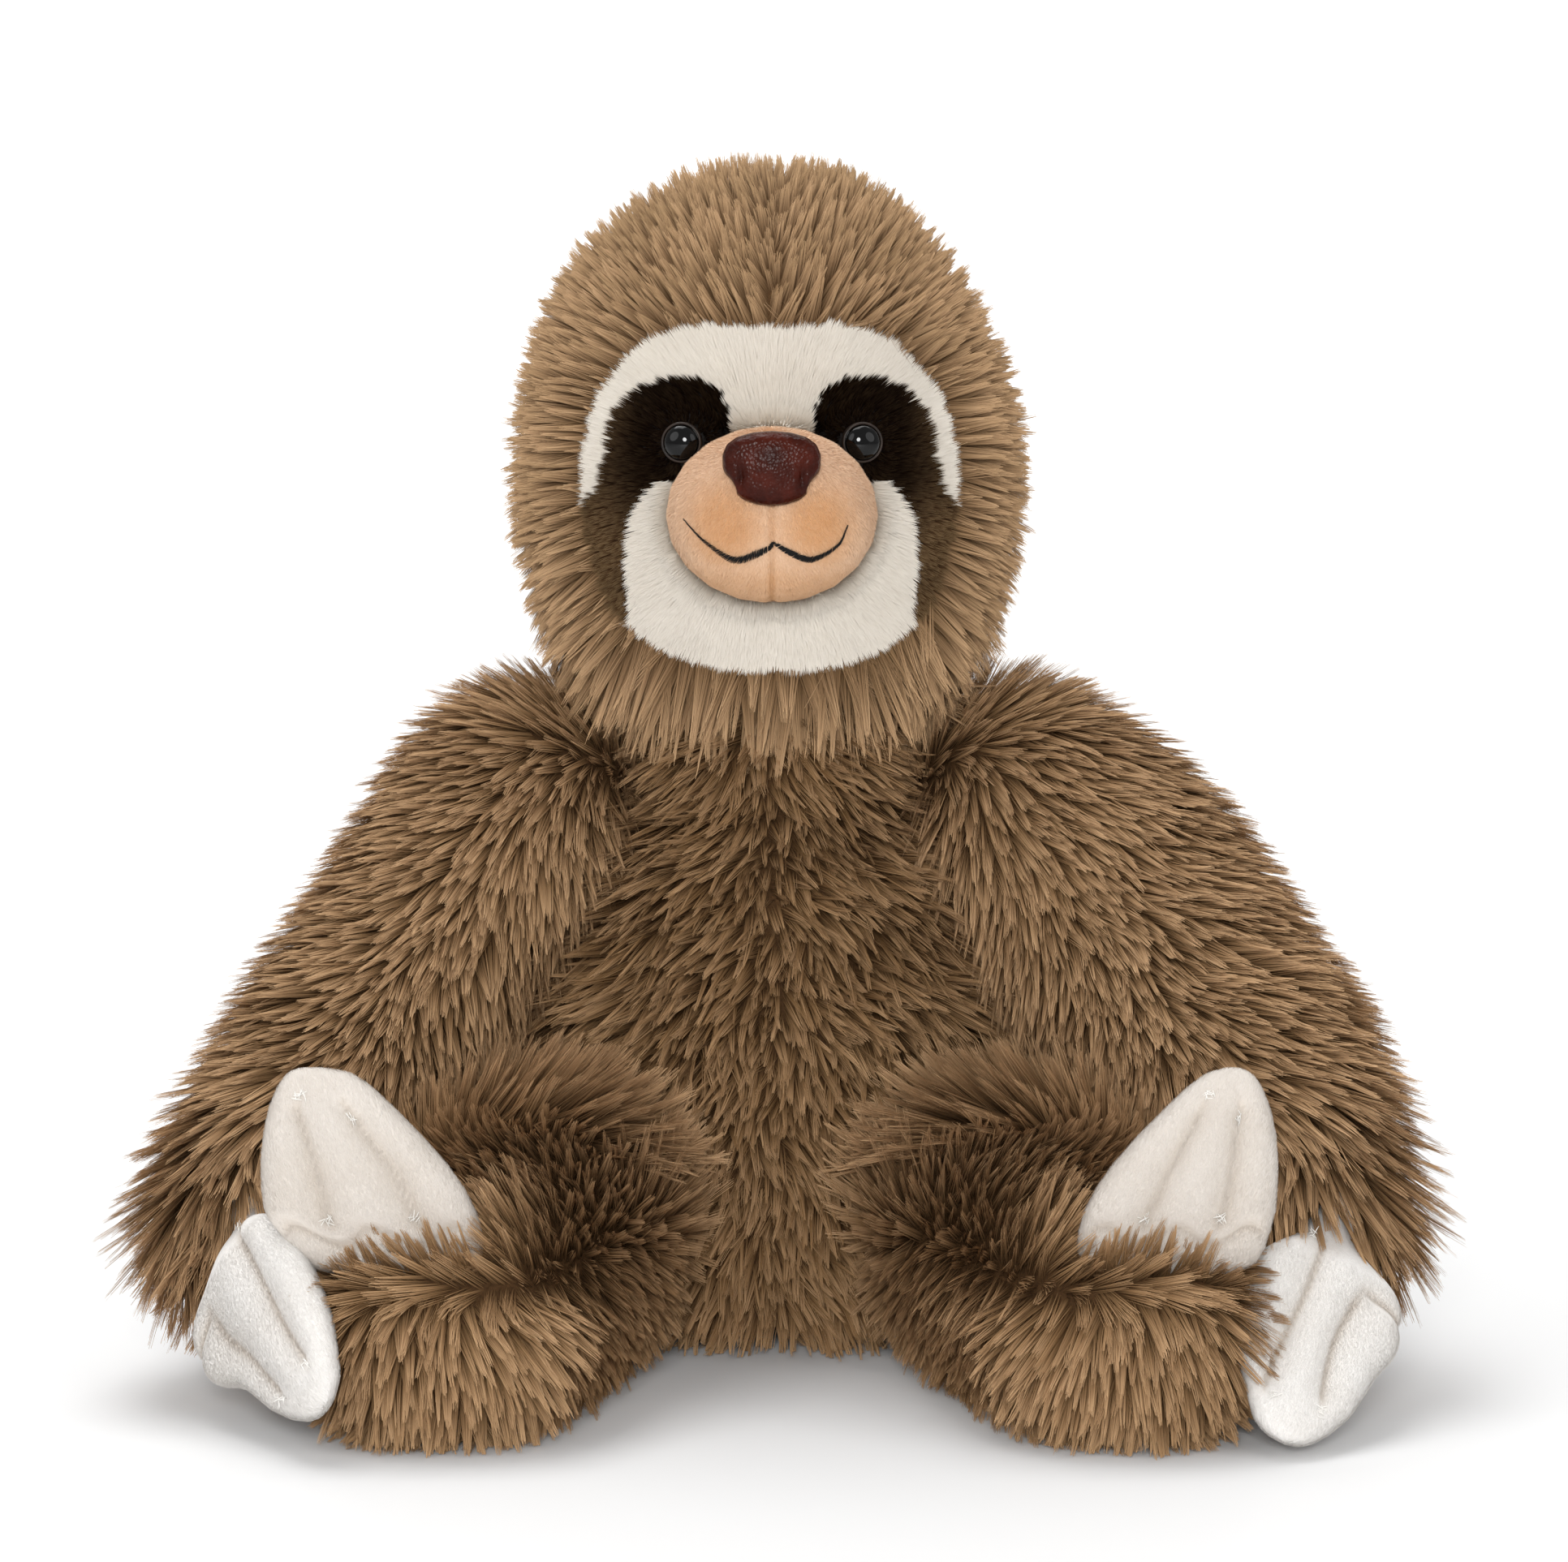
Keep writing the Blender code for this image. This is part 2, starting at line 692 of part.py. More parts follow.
def hand_limb(arm):
    """A hand: a small root at the wrist, then three fused fingers that lie in front of the cuff."""
    cuff = Vector((SIDES[arm.side] * WRIST_OUTWARD[arm.side], WRIST_PROUD, WRIST_WAY_SHARE * ARM_LENGTH))
    place = arm.form.frame @ cuff
    frame = frame_of(place, HAND_BREADTHS[arm.side], HAND_DIRECTIONS[arm.side])
    rings = [
        Ring(way * HAND_LENGTHS[arm.side], width * HAND_HALF_WIDTH, thickness * HAND_HALF_THICKNESS)
        for way, width, thickness in HAND_RING_SHARES
    ]
    form = SoftForm(rings, frame, FINGER_ANGLES, FINGER_SQUARENESS, FINGER_GROOVE_SHARE)
    return Limb(arm.side, form, place, -frame.col[0].to_3d(), HAND_FLEX)


def leg_limb(side):
    """A leg: a root in the hip, then a thigh that swells and runs along the ground to the foot."""
    sign = SIDES[side]
    place = Vector((sign * HIP_SPREAD, -HIP_FORWARD, HIP_HEIGHT))
    frame = frame_of(place, (1, 0, 0), (0, -1, 0))
    rings = [
        Ring(
            way * LEG_LENGTH,
            width * LEG_HALF_WIDTH,
            height * LEG_HALF_HEIGHT,
            sign * out * LEG_SPREADS[side],
            middle * LEG_HALF_HEIGHT - HIP_HEIGHT,
        )
        for way, out, middle, width, height in LEG_RING_SHARES
    ]
    form = SoftForm(rings, frame, even_angles(LEG_SIDES), LEG_SQUARENESS)
    return Limb(side, form, place, leg_direction(side).cross(Vector((0, 0, 1))), LEG_LIFT)


def leg_direction(side):
    """Which way a leg points on the ground."""
    return Vector((SIDES[side] * LEG_SPREADS[side], -LEG_LENGTH, 0)).normalized()


def claws_limb(leg):
    """Foot claws: a round root across the top of the foot, then three fused claws that stand up."""
    sign = SIDES[leg.side]
    out = sign * (LEG_SPREADS[leg.side] + CLAWS_ROOT_OUTS[leg.side])
    place = Vector((leg.place.x + out, leg.place.y - CLAWS_ROOT_WAY_SHARE * LEG_LENGTH, CLAWS_ROOT_HEIGHT))
    frame = frame_of(place, (1, 0, 0), (0, math.sin(CLAWS_RAKE), math.cos(CLAWS_RAKE)))
    rings = [
        Ring(
            way * CLAWS_HEIGHT,
            width * CLAWS_HALF_WIDTH,
            thickness * CLAWS_HALF_THICKNESS,
            sign * lean * CLAWS_LEAN,
        )
        for way, width, thickness, lean in CLAWS_RING_SHARES
    ]
    form = SoftForm(rings, frame, FINGER_ANGLES, FINGER_SQUARENESS, FINGER_GROOVE_SHARE)
    return Limb(leg.side, form, place, Vector((1, 0, 0)), CLAWS_FLEX)


def build_limb(build, name, limb, seam, halves, wall, material, cuts):
    """A limb's two panels, which meet in a seam, and its stuffing, hung on a pivot."""
    lining = build.cage_guide(f"{name}_lining", limb.form, wall)
    made = []
    for half, sign in halves.items():
        keep = build.half_space(f"{name}_{half}_side", seam, 1, sign)
        made.append(build.skin(f"{name}_{half}", limb.form, material, [keep], [lining, *cuts, build.floor]))
    made.append(build.stuffing(f"{name}_stuffing", limb.form, wall, cuts))
    build.pivot(f"{name}_pivot", limb.place, made)


def build_torso(build, arms, legs):
    """The torso's base panel, its four side panels and its stuffing."""
    form = torso_form()
    lining = build.cage_guide("torso_lining", form, PLUSH_WALL)
    boolean(lining, build.neck_ball("neck_lining", NECK_RADIUS - PLUSH_WALL), "UNION")
    neck = [build.neck_ball("neck_ball", NECK_RADIUS)]
    core = [build.neck_ball("neck_core", NECK_RADIUS - PLUSH_WALL - SEAM_GAP)]
    sockets = [build.ball(f"shoulder_socket_{a.side}", a.place, SHOULDER_RADIUS + BALL_GAP) for a in arms]
    sockets += [build.ball(f"hip_socket_{leg.side}", leg.place, HIP_RADIUS + BALL_GAP) for leg in legs]
    low = -CUT_OVERRUN
    high = PLUSH_WALL + CUT_OVERRUN
    seat = build.oval("seat_outline", SEAT_HALF_WIDTH, SEAT_HALF_DEPTH, low, high)
    opening = build.oval("seat_opening", SEAT_HALF_WIDTH + SEAM_GAP, SEAT_HALF_DEPTH + SEAM_GAP, low, high)
    build.skin("torso_base_panel", form, "body_plush", [seat], [lining, build.floor])
    middle = Matrix.Translation((0, TORSO_SET_BACK, 0))
    for face, facing in (("front", -1), ("back", 1)):
        for side, sign in SIDES.items():
            keeps = [
                build.half_space(f"torso_{face}_{side}_depth", middle, 1, facing),
                build.half_space(f"torso_{face}_{side}_width", middle, 0, sign),
            ]
            cuts = [lining, opening, *sockets, build.floor]
            build.skin(f"torso_{face}_panel_{side}", form, "body_plush", keeps, cuts, neck)
    build.stuffing("torso_stuffing", form, PLUSH_WALL, sockets, core)


def turned_piece(build, name, frame, profile, material):
    """A turned plastic piece, from a profile of radius and height from the top down, set in a frame."""
    mesh = bpy.data.meshes.new(name)
    points = [(radius, 0.0, height) for radius, height in profile]
    edges = [(step, step + 1) for step in range(len(points) - 1)]
    if points[0][0] > 0:
        edges.append((len(points) - 1, 0))
    mesh.from_pydata(points, edges, [])
    obj = add_object(name, mesh, build.parts)
    screw = obj.modifiers.new("turned", "SCREW")
    screw.axis = "Z"
    screw.steps = TURNED_STEPS
    screw.render_steps = TURNED_STEPS
    screw.use_merge_vertices = True
    screw.merge_threshold = 0.00001
    screw.use_smooth_shade = True
    obj.matrix_basis = frame
    mesh.materials.append(finish(material))
    return obj


def washer_profile():
    """Half section of a lock washer round its bore."""
    bore = SHANK_RADIUS + SEAM_GAP
    half = WASHER_THICKNESS / 2
    return [(bore, half), (WASHER_RADIUS, half), (WASHER_RADIUS, -half), (bore, -half)]


def eye_profile(shank):
    """Half section of an eye: dome, rim and shank."""
    dome = [(0.0, EYE_RIM + EYE_DOME)]
    for angle in EYE_SEGMENT_ANGLES:
        turn = math.radians(angle)
        dome.append((EYE_RADIUS * math.sin(turn), EYE_RIM + EYE_DOME * math.cos(turn)))
    return [*dome, (EYE_RADIUS, 0.0), (SHANK_RADIUS, 0.0), (SHANK_RADIUS, -shank), (0.0, -shank)]


class Fastening:
    """How an eye or the nose is held: a shank through the skin, and a lock washer behind it."""

    def __init__(self, build, name, frame, lining, backing):
        inside, _ = surface_at(lining, frame.translation.x, frame.translation.z)
        skin = (frame.translation - inside).dot(frame.col[2].to_3d())
        self.frame = frame
        self.washer = skin + backing + WASHER_THICKNESS / 2
        self.shank = skin + backing + WASHER_THICKNESS + SHANK_TAIL
        deep = -self.shank - SEAM_GAP
        bore = SHANK_RADIUS + SEAM_GAP
        pocket = WASHER_RADIUS + SEAM_GAP
        self.bore = build.rod(f"{name}_bore", frame, bore, deep, CUT_OVERRUN, TURNED_STEPS)
        self.pocket = build.rod(f"{name}_pocket", frame, pocket, deep, CUT_OVERRUN, TURNED_STEPS)
        rim = EYE_RADIUS + SEAM_GAP
        self.seat = build.rod(f"{name}_seat", frame, rim, -SEAM_GAP, CUT_OVERRUN, TURNED_STEPS)

    def lock(self, build, name):
        """The lock washer."""
        seat = self.frame @ Matrix.Translation((0, 0, -self.washer))
        return turned_piece(build, name, seat, washer_profile(), "washer_plastic")


def build_nose(build, seat, fastening):
    """The moulded nose with its nostrils, seated on the muzzle, with a shank into the stuffing."""
    rings = [
        Ring(NOSE_PROUD - way * NOSE_DEPTH, size * NOSE_HALF_WIDTH, size * NOSE_HALF_HEIGHT)
        for way, size in NOSE_RING_SHARES
    ]
    form = SoftForm(rings, fastening.frame, even_angles(NOSE_SIDES), 2.6, 0.0, NOSE_TAPER_SHARE)
    cuts = [seat]
    for side, sign in SIDES.items():
        place = fastening.frame @ Matrix.Translation((sign * NOSTRIL_SPREAD, -NOSTRIL_DROP, 0))
        cuts.append(build.rod(f"nostril_{side}", place, NOSTRIL_RADIUS, -NOSE_DEPTH, NOSE_DEPTH, 12))
    nose = build.skin("nose", form, "nose_plastic", (), cuts)
    boolean(nose, build.rod("nose_shank", fastening.frame, SHANK_RADIUS, -fastening.shank, 0.0, 12), "UNION")
    return nose


def build_mouth(build, muzzle):
    """The embroidered smile, a thread that lies on the muzzle."""
    curve = bpy.data.curves.new("mouth_thread", "CURVE")
    curve.dimensions = "3D"
    curve.bevel_depth = MOUTH_THREAD_RADIUS
    curve.bevel_resolution = 1
    curve.use_fill_caps = True
    spline = curve.splines.new("POLY")
    spline.points.add(2 * MOUTH_STEPS)
    for step in range(-MOUTH_STEPS, MOUTH_STEPS + 1):
        share = step / MOUTH_STEPS
        away = max(abs(share) - MOUTH_DIP_SHARE, 0) / (1 - MOUTH_DIP_SHARE)
        near = max(MOUTH_DIP_SHARE - abs(share), 0) / MOUTH_DIP_SHARE
        height = MOUTH_LOW + MOUTH_RISE * away**2 + MOUTH_PEAK * near**2
        point, normal = surface_at(muzzle, share * MOUTH_HALF_SPAN, height)
        place = point + normal * (MOUTH_THREAD_RADIUS + SEAM_GAP)
        spline.points[step + MOUTH_STEPS].co = (*place, 1.0)
    mesh = welded_mesh(build, "mouth_embroidery", curve)
    mesh.materials.append(finish("black_thread"))
    return add_object("mouth_embroidery", mesh, build.parts)


def welded_mesh(build, name, curve):
    """A curve made a mesh, with its caps welded on."""
    obj = add_object(name + "_curve", curve, build.guides)
    mesh = evaluated_mesh(obj)
    bpy.data.objects.remove(obj, do_unlink=True)
    weld = bmesh.new()
    weld.from_mesh(mesh)
    bmesh.ops.remove_doubles(weld, verts=weld.verts, dist=1e-6)
    bmesh.ops.recalc_face_normals(weld, faces=weld.faces)
    weld.to_mesh(mesh)
    weld.free()
    mesh.name = name
    return mesh


def build_head(build):
    """The hood, the face pieces, the muzzle, the nose, the eyes, the washers and the stuffing."""
    form = head_form()
    muzzle = muzzle_form()
    halves = {side: build.half_space(f"middle_{side}", Matrix(), 0, sign) for side, sign in SIDES.items()}
    lining = build.cage_guide("head_lining", form, PLUSH_WALL)
    muzzle_lining = build.cage_guide("muzzle_lining", muzzle, VELOUR_WALL)
    muzzle_cut = build.rounded_guide("muzzle_opening", muzzle, -SEAM_GAP)
    recess = build.neck_ball("neck_recess", NECK_RADIUS + BALL_GAP, True)
    left_half = face_points(FACE_HALF_SHARES)
    face = rounded_outline(left_half + [(-x, z) for x, z in reversed(left_half[1:-1])])
    face_keep = build.outline_prism("face_outline", face, 0.0)
    face_cut = build.outline_prism("face_opening", face, SEAM_GAP)
    cheek_keep = build.outline_prism("cheek_outline", face_points(CHEEK_SHARES), 0.0)
    cheek_cut = build.outline_prism("cheek_opening", face_points(CHEEK_SHARES), SEAM_GAP)
    patches = {side: rounded_outline(face_points(PATCH_SHARES, sign)) for side, sign in SIDES.items()}
    patch_cuts = {s: build.outline_prism(f"patch_opening_{s}", p, SEAM_GAP) for s, p in patches.items()}

    outside = evaluated_mesh(build.rounded_guide("head_outside", form, 0.0))
    eyes = {}
    for side, sign in SIDES.items():
        point, _ = surface_at(outside, sign * EYE_SPREAD, EYE_HEIGHT)
        outward = Vector((sign * math.sin(EYE_TURN), -math.cos(EYE_TURN), 0))
        frame = frame_of(point + outward * 2 * SEAM_GAP, (0, 0, 1), outward)
        eyes[side] = Fastening(build, f"eye_{side}", frame, lining.data, WASHER_BACKING)
    muzzle_outside = evaluated_mesh(build.rounded_guide("muzzle_outside", muzzle, 0.0))
    point, _ = surface_at(muzzle_outside, 0.0, NOSE_HEIGHT)
    nose_frame = frame_of(point, (1, 0, 0), (0, -1, 0))
    nose = Fastening(build, "nose", nose_frame, muzzle_lining.data, NOSE_WASHER_BACKING)

    cuts = [lining, *patch_cuts.values(), cheek_cut, muzzle_cut]
    made = [build.skin("face_brow", form, "white_plush", [face_keep], cuts)]
    for side, half in halves.items():
        made.append(build.skin(f"head_hood_{side}", form, "head_plush", [half], [lining, recess, face_cut]))
        patch = build.outline_prism(f"patch_outline_{side}", patches[side], 0.0)
        cuts = [lining, muzzle_cut, eyes[side].bore, eyes[side].seat]
        made.append(build.skin(f"eye_patch_{side}", form, "dark_plush", [face_keep, patch], cuts))
        cuts = [lining, muzzle_cut, patch_cuts[side]]
        made.append(build.skin(f"cheek_{side}", form, "white_plush", [half, face_keep, cheek_keep], cuts))
        cuts = [muzzle_lining, lining, nose.bore]
        made.append(build.skin(f"muzzle_{side}", muzzle, "muzzle_velour", [half], cuts))
        eye = eye_profile(eyes[side].shank)
        made.append(turned_piece(build, f"eye_{side}", eyes[side].frame, eye, "eye_plastic"))
        made.append(eyes[side].lock(build, f"eye_washer_{side}"))
    made.append(build.stuffing("muzzle_stuffing", muzzle, VELOUR_WALL, [lining, nose.pocket]))
    pockets = [eye.pocket for eye in eyes.values()]
    made.append(build.stuffing("head_stuffing", form, PLUSH_WALL, [recess, *pockets]))
    made.append(build_nose(build, muzzle_cut, nose))
    made.append(nose.lock(build, "nose_washer"))
    made.append(build_mouth(build, muzzle_outside))
    build.pivot("neck_pivot", (0, NECK_SET_BACK, NECK_HEIGHT), made)


def build_arms(build, arms):
    """Arms and hands."""
    for arm in arms:
        hand = hand_limb(arm)
        socket = build.ball(
            f"wrist_socket_{arm.side}", hand.place, WRIST_RADIUS + JOINT_GAP, SMALL_BALL_FACETS
        )
        way = build.sweep(f"hand_way_{arm.side}", hand.form, hand, HAND_FLEX)
        boolean(way, socket, "UNION")
        cuts = [way]
        halves = {"back": -1, "front": 1}
        build_limb(build, f"arm_{arm.side}", arm, arm.form.frame, halves, PLUSH_WALL, "body_plush", cuts)
        halves = {"palm": -1, "top": 1}
        build_limb(build, f"hand_{arm.side}", hand, hand.form.frame, halves, VELBOA_WALL, "white_velboa", [])


def build_legs(build, legs):
    """Legs and foot claws."""
    for leg in legs:
        claws = claws_limb(leg)
        across = frame_of(claws.place, (0, 0, 1), (1, 0, 0))
        reach = CLAWS_HALF_WIDTH + JOINT_GAP
        radius = CLAWS_ROOT_RADIUS + JOINT_GAP
        way = build.sweep(f"claws_way_{leg.side}", claws.form, claws, CLAWS_FLEX)
        boolean(way, build.rod(f"claws_groove_{leg.side}", across, radius, -reach, reach), "UNION")
        belly = build.sweep(f"belly_way_{leg.side}", torso_form(), leg, -LEG_LIFT)
        root = build.ball(f"hip_root_{leg.side}", leg.place, HIP_RADIUS, outer=False)
        boolean(belly, root, "DIFFERENCE")
        cuts = [way, belly]
        seam = frame_of(leg.place, leg_direction(leg.side), (0, 0, 1))
        sign = SIDES[leg.side]
        halves = {"inner": -sign, "outer": sign}
        build_limb(build, f"leg_{leg.side}", leg, seam, halves, PLUSH_WALL, "body_plush", cuts)
        halves = {"front": -1, "back": 1}
        name = f"foot_claws_{leg.side}"
        build_limb(build, name, claws, claws.form.frame, halves, VELBOA_WALL, "white_velboa", [])


def main():
    clear_scene()
    build = Builder()
    arms = [arm_limb(side) for side in SIDES]
    legs = [leg_limb(side) for side in SIDES]
    build_torso(build, arms, legs)
    build_head(build)
    build_arms(build, arms)
    build_legs(build, legs)


main()
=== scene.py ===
"""Looks of a seated plush sloth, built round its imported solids.

Long-pile plush, short-pile face pieces, velour muzzle, velboa hands and claws, moulded eyes and nose.
Metres, +Z up, -Y the way the toy faces, +X its own left.
"""

import logging
import math
from dataclasses import dataclass, field, replace
from enum import Enum
from typing import Iterable, Optional, Union

import bmesh
import bpy
import numpy as np
from mathutils import Matrix, Vector
from mathutils.bvhtree import BVHTree

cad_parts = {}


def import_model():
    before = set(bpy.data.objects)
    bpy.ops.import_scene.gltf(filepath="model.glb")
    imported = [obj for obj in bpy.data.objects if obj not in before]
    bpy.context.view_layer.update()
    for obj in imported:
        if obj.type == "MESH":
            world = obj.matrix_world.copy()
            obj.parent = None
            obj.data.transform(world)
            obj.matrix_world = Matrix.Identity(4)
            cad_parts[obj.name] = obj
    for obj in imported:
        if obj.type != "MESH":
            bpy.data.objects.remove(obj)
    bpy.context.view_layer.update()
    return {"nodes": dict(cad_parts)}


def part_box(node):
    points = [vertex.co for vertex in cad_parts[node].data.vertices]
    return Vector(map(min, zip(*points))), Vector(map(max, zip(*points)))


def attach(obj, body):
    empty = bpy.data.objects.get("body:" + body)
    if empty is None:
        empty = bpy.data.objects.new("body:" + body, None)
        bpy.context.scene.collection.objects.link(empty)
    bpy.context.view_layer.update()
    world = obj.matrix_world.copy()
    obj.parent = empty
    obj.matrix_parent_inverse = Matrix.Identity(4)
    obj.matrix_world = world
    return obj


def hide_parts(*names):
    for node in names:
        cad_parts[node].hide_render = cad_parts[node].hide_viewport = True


LOG = logging.getLogger("plush_sloth")
Array = np.ndarray
Value = Union[bpy.types.NodeSocket, float, int, bool, str, tuple]
SIDES = {"left": 1.0, "right": -1.0}
HAIR_MAP = "OFBake"
FIELD_NAMES = ("comb", "outward", "reach", "growth", "lift", "tone", "zone", "panel")
PER_SQUARE_METRE = 1e4
PANEL_SEED_STEP = 97
STRAND_FLOOR_GAP = 0.0006
SKIN_FLOOR_GAP = 0.0012


def linear(colour: str) -> tuple[float, float, float, float]:
    """Turns a web colour into the linear values that a shader takes.

    Args:
        colour: Six hexadecimal digits.

    Returns:
        Red, green, blue and a full alpha.
    """
    shares = [int(colour[i : i + 2], 16) / 255 for i in (0, 2, 4)]
    red, green, blue = (s / 12.92 if s <= 0.04045 else ((s + 0.055) / 1.055) ** 2.4 for s in shares)
    return red, green, blue, 1.0


def ease(values: Array, low: float, high: float) -> Array:
    """Rises smoothly from 0 at low to 1 at high.

    Args:
        values: What is measured.
        low: Where the rise starts.
        high: Where it ends.

    Returns:
        A share for each value.
    """
    share = np.clip((values - low) / (high - low), 0.0, 1.0)
    return share * share * (3 - 2 * share)


def unit(vectors: Array) -> Array:
    """Scales each row to length 1."""
    return vectors / np.maximum(np.linalg.norm(vectors, axis=-1, keepdims=True), 1e-9)


class Nodes:
    """A node tree under construction, with short calls for the nodes that it uses most."""

    def __init__(self, tree: bpy.types.NodeTree) -> None:
        """Keeps the tree that the calls add to."""
        self.tree = tree

    def feed(self, socket: bpy.types.NodeSocket, value: Value) -> None:
        """Links a socket to another, or sets its own value."""
        if isinstance(value, bpy.types.NodeSocket):
            self.tree.links.new(value, socket)
        else:
            socket.default_value = value

    def add(self, kind: str, inputs: Optional[dict] = None, **settings: object) -> bpy.types.Node:
        """Adds a node.

        Args:
            kind: Blender's name of the node type.
            inputs: What goes into its sockets, by name or number.
            **settings: The node's own options, set before its sockets are filled.

        Returns:
            The node.
        """
        node = self.tree.nodes.new(kind)
        for name, value in settings.items():
            setattr(node, name, value)
        for key, value in (inputs or {}).items():
            self.feed(self.port(node.inputs, key), value)
        return node

    @staticmethod
    def port(sockets: Iterable, key: Union[str, int]) -> bpy.types.NodeSocket:
        """The socket of a number, or the one in use of a name."""
        if isinstance(key, int):
            return sockets[key]
        return next(socket for socket in sockets if socket.name == key and socket.enabled)

    def math(self, operation: str, *values: Value) -> bpy.types.NodeSocket:
        """A sum on numbers."""
        return self.add("ShaderNodeMath", dict(enumerate(values)), operation=operation).outputs[0]

    def vector(self, operation: str, *values: Value) -> bpy.types.NodeSocket:
        """A sum on vectors."""
        node = self.add("ShaderNodeVectorMath", dict(enumerate(values)), operation=operation)
        return self.port(node.outputs, "Value" if operation in ("LENGTH", "DOT_PRODUCT") else "Vector")

    def scaled(self, vector: Value, share: Value) -> bpy.types.NodeSocket:
        """A vector times a number."""
        node = self.add("ShaderNodeVectorMath", {0: vector, "Scale": share}, operation="SCALE")
        return node.outputs["Vector"]

    def total(self, *vectors: Value) -> bpy.types.NodeSocket:
        """The sum of several vectors."""
        found = vectors[0]
        for vector in vectors[1:]:
            found = self.vector("ADD", found, vector)
        return found

    def ramp(self, share: Value, stops: list) -> bpy.types.NodeSocket:
        """A colour ramp.

        Args:
            share: What runs along it.
            stops: Pairs of place and colour.

        Returns:
            The colour.
        """
        node = self.add("ShaderNodeValToRGB", {"Fac": share})
        band = node.color_ramp.elements
        while len(band) < len(stops):
            band.new(0.5)
        for element, (place, colour) in zip(band, stops):
            element.position = place
            element.color = colour
        return node.outputs["Color"]

    def noise(self, place: Value, scale: float, detail: float) -> bpy.types.NodeSocket:
        """Noise on some coordinates, from 0 to 1."""
        inputs = {"Vector": place, "Scale": scale, "Detail": detail}
        return self.add("ShaderNodeTexNoise", inputs).outputs["Fac"]

    def mixed(self, share: Value, first: Value, second: Value) -> bpy.types.NodeSocket:
        """Two colours mixed."""
        node = self.add("ShaderNodeMix", data_type="RGBA")
        self.feed(node.inputs[0], share)
        self.feed(node.inputs[6], first)
        self.feed(node.inputs[7], second)
        return node.outputs[2]


def new_material(name: str) -> tuple[bpy.types.Material, Nodes, bpy.types.Node]:
    """Starts a material.

    Args:
        name: What it is called.

    Returns:
        The material, its nodes and its shader.
    """
    material = bpy.data.materials.new(name)
    material.use_nodes = True
    return material, Nodes(material.node_tree), material.node_tree.nodes["Principled BSDF"]


@dataclass(frozen=True)
class HairFinish:
    """The colours of a pile, from its roots to its tips, for its darkest and its lightest strands."""

    name: str
    slot: str
    # The darker roots are partly painted shade between the tufts, and the lighter tips partly painted
    # highlight, over the pile's own tipped colour.
    roots: tuple[str, str]
    middles: tuple[str, str]
    tips: tuple[str, str]
    roughness: float = 0.62
    sheen: float = 0.0
    gloss: float = 0.1

    def material(self) -> bpy.types.Material:
        """Makes the material, whose colours read only the strands' own map."""
        material, nodes, shader = new_material(self.name)
        chart = nodes.add("ShaderNodeUVMap", uv_map=HAIR_MAP).outputs["UV"]
        split = nodes.add("ShaderNodeSeparateXYZ", {0: chart})
        ramps = []
        for pick in (0, 1):
            stops = [
                (0.0, linear(self.roots[pick])),
                (0.5, linear(self.middles[pick])),
                (1.0, linear(self.tips[pick])),
            ]
            ramps.append(nodes.ramp(split.outputs["Y"], stops))
        nodes.feed(shader.inputs["Base Color"], nodes.mixed(split.outputs["X"], ramps[0], ramps[1]))
        shader.inputs["Roughness"].default_value = self.roughness
        shader.inputs["Specular IOR Level"].default_value = self.gloss
        shader.inputs["Sheen Weight"].default_value = self.sheen
        shader.inputs["Sheen Roughness"].default_value = 0.5
        return material


@dataclass(frozen=True)
class ClothFinish:
    """A woven or knitted face.

    Two tones lie in patches under a fine grain and a soft sheen, with an accent where the tone is low.
    """

    name: str
    base: str
    shade: str
    accent: str = ""
    grain_scale: float = 900.0
    patch_scale: float = 55.0
    bump: float = 0.35
    roughness: float = 0.85
    sheen: float = 0.3
    grain_depth: float = 0.0006

    def material(self) -> bpy.types.Material:
        """Makes the material, on Object coordinates."""
        material, nodes, shader = new_material(self.name)
        place = nodes.add("ShaderNodeTexCoord").outputs["Object"]
        patch = nodes.noise(place, self.patch_scale, 4.0)
        grain = nodes.noise(place, self.grain_scale, 3.0)
        share = nodes.math("MULTIPLY", patch, grain)
        stops = [(0.12, linear(self.shade)), (0.42, linear(self.base))]
        colour = nodes.ramp(share, stops)
        if self.accent:
            tone = nodes.add("ShaderNodeAttribute", attribute_name="tone").outputs["Fac"]
            colour = nodes.mixed(tone, linear(self.accent), colour)
        nodes.feed(shader.inputs["Base Color"], colour)
        relief = {"Height": grain, "Strength": self.bump, "Distance": self.grain_depth}
        nodes.feed(shader.inputs["Normal"], nodes.add("ShaderNodeBump", relief).outputs["Normal"])
        shader.inputs["Roughness"].default_value = self.roughness
        shader.inputs["Sheen Weight"].default_value = self.sheen
        shader.inputs["Specular IOR Level"].default_value = 0.2
        return material


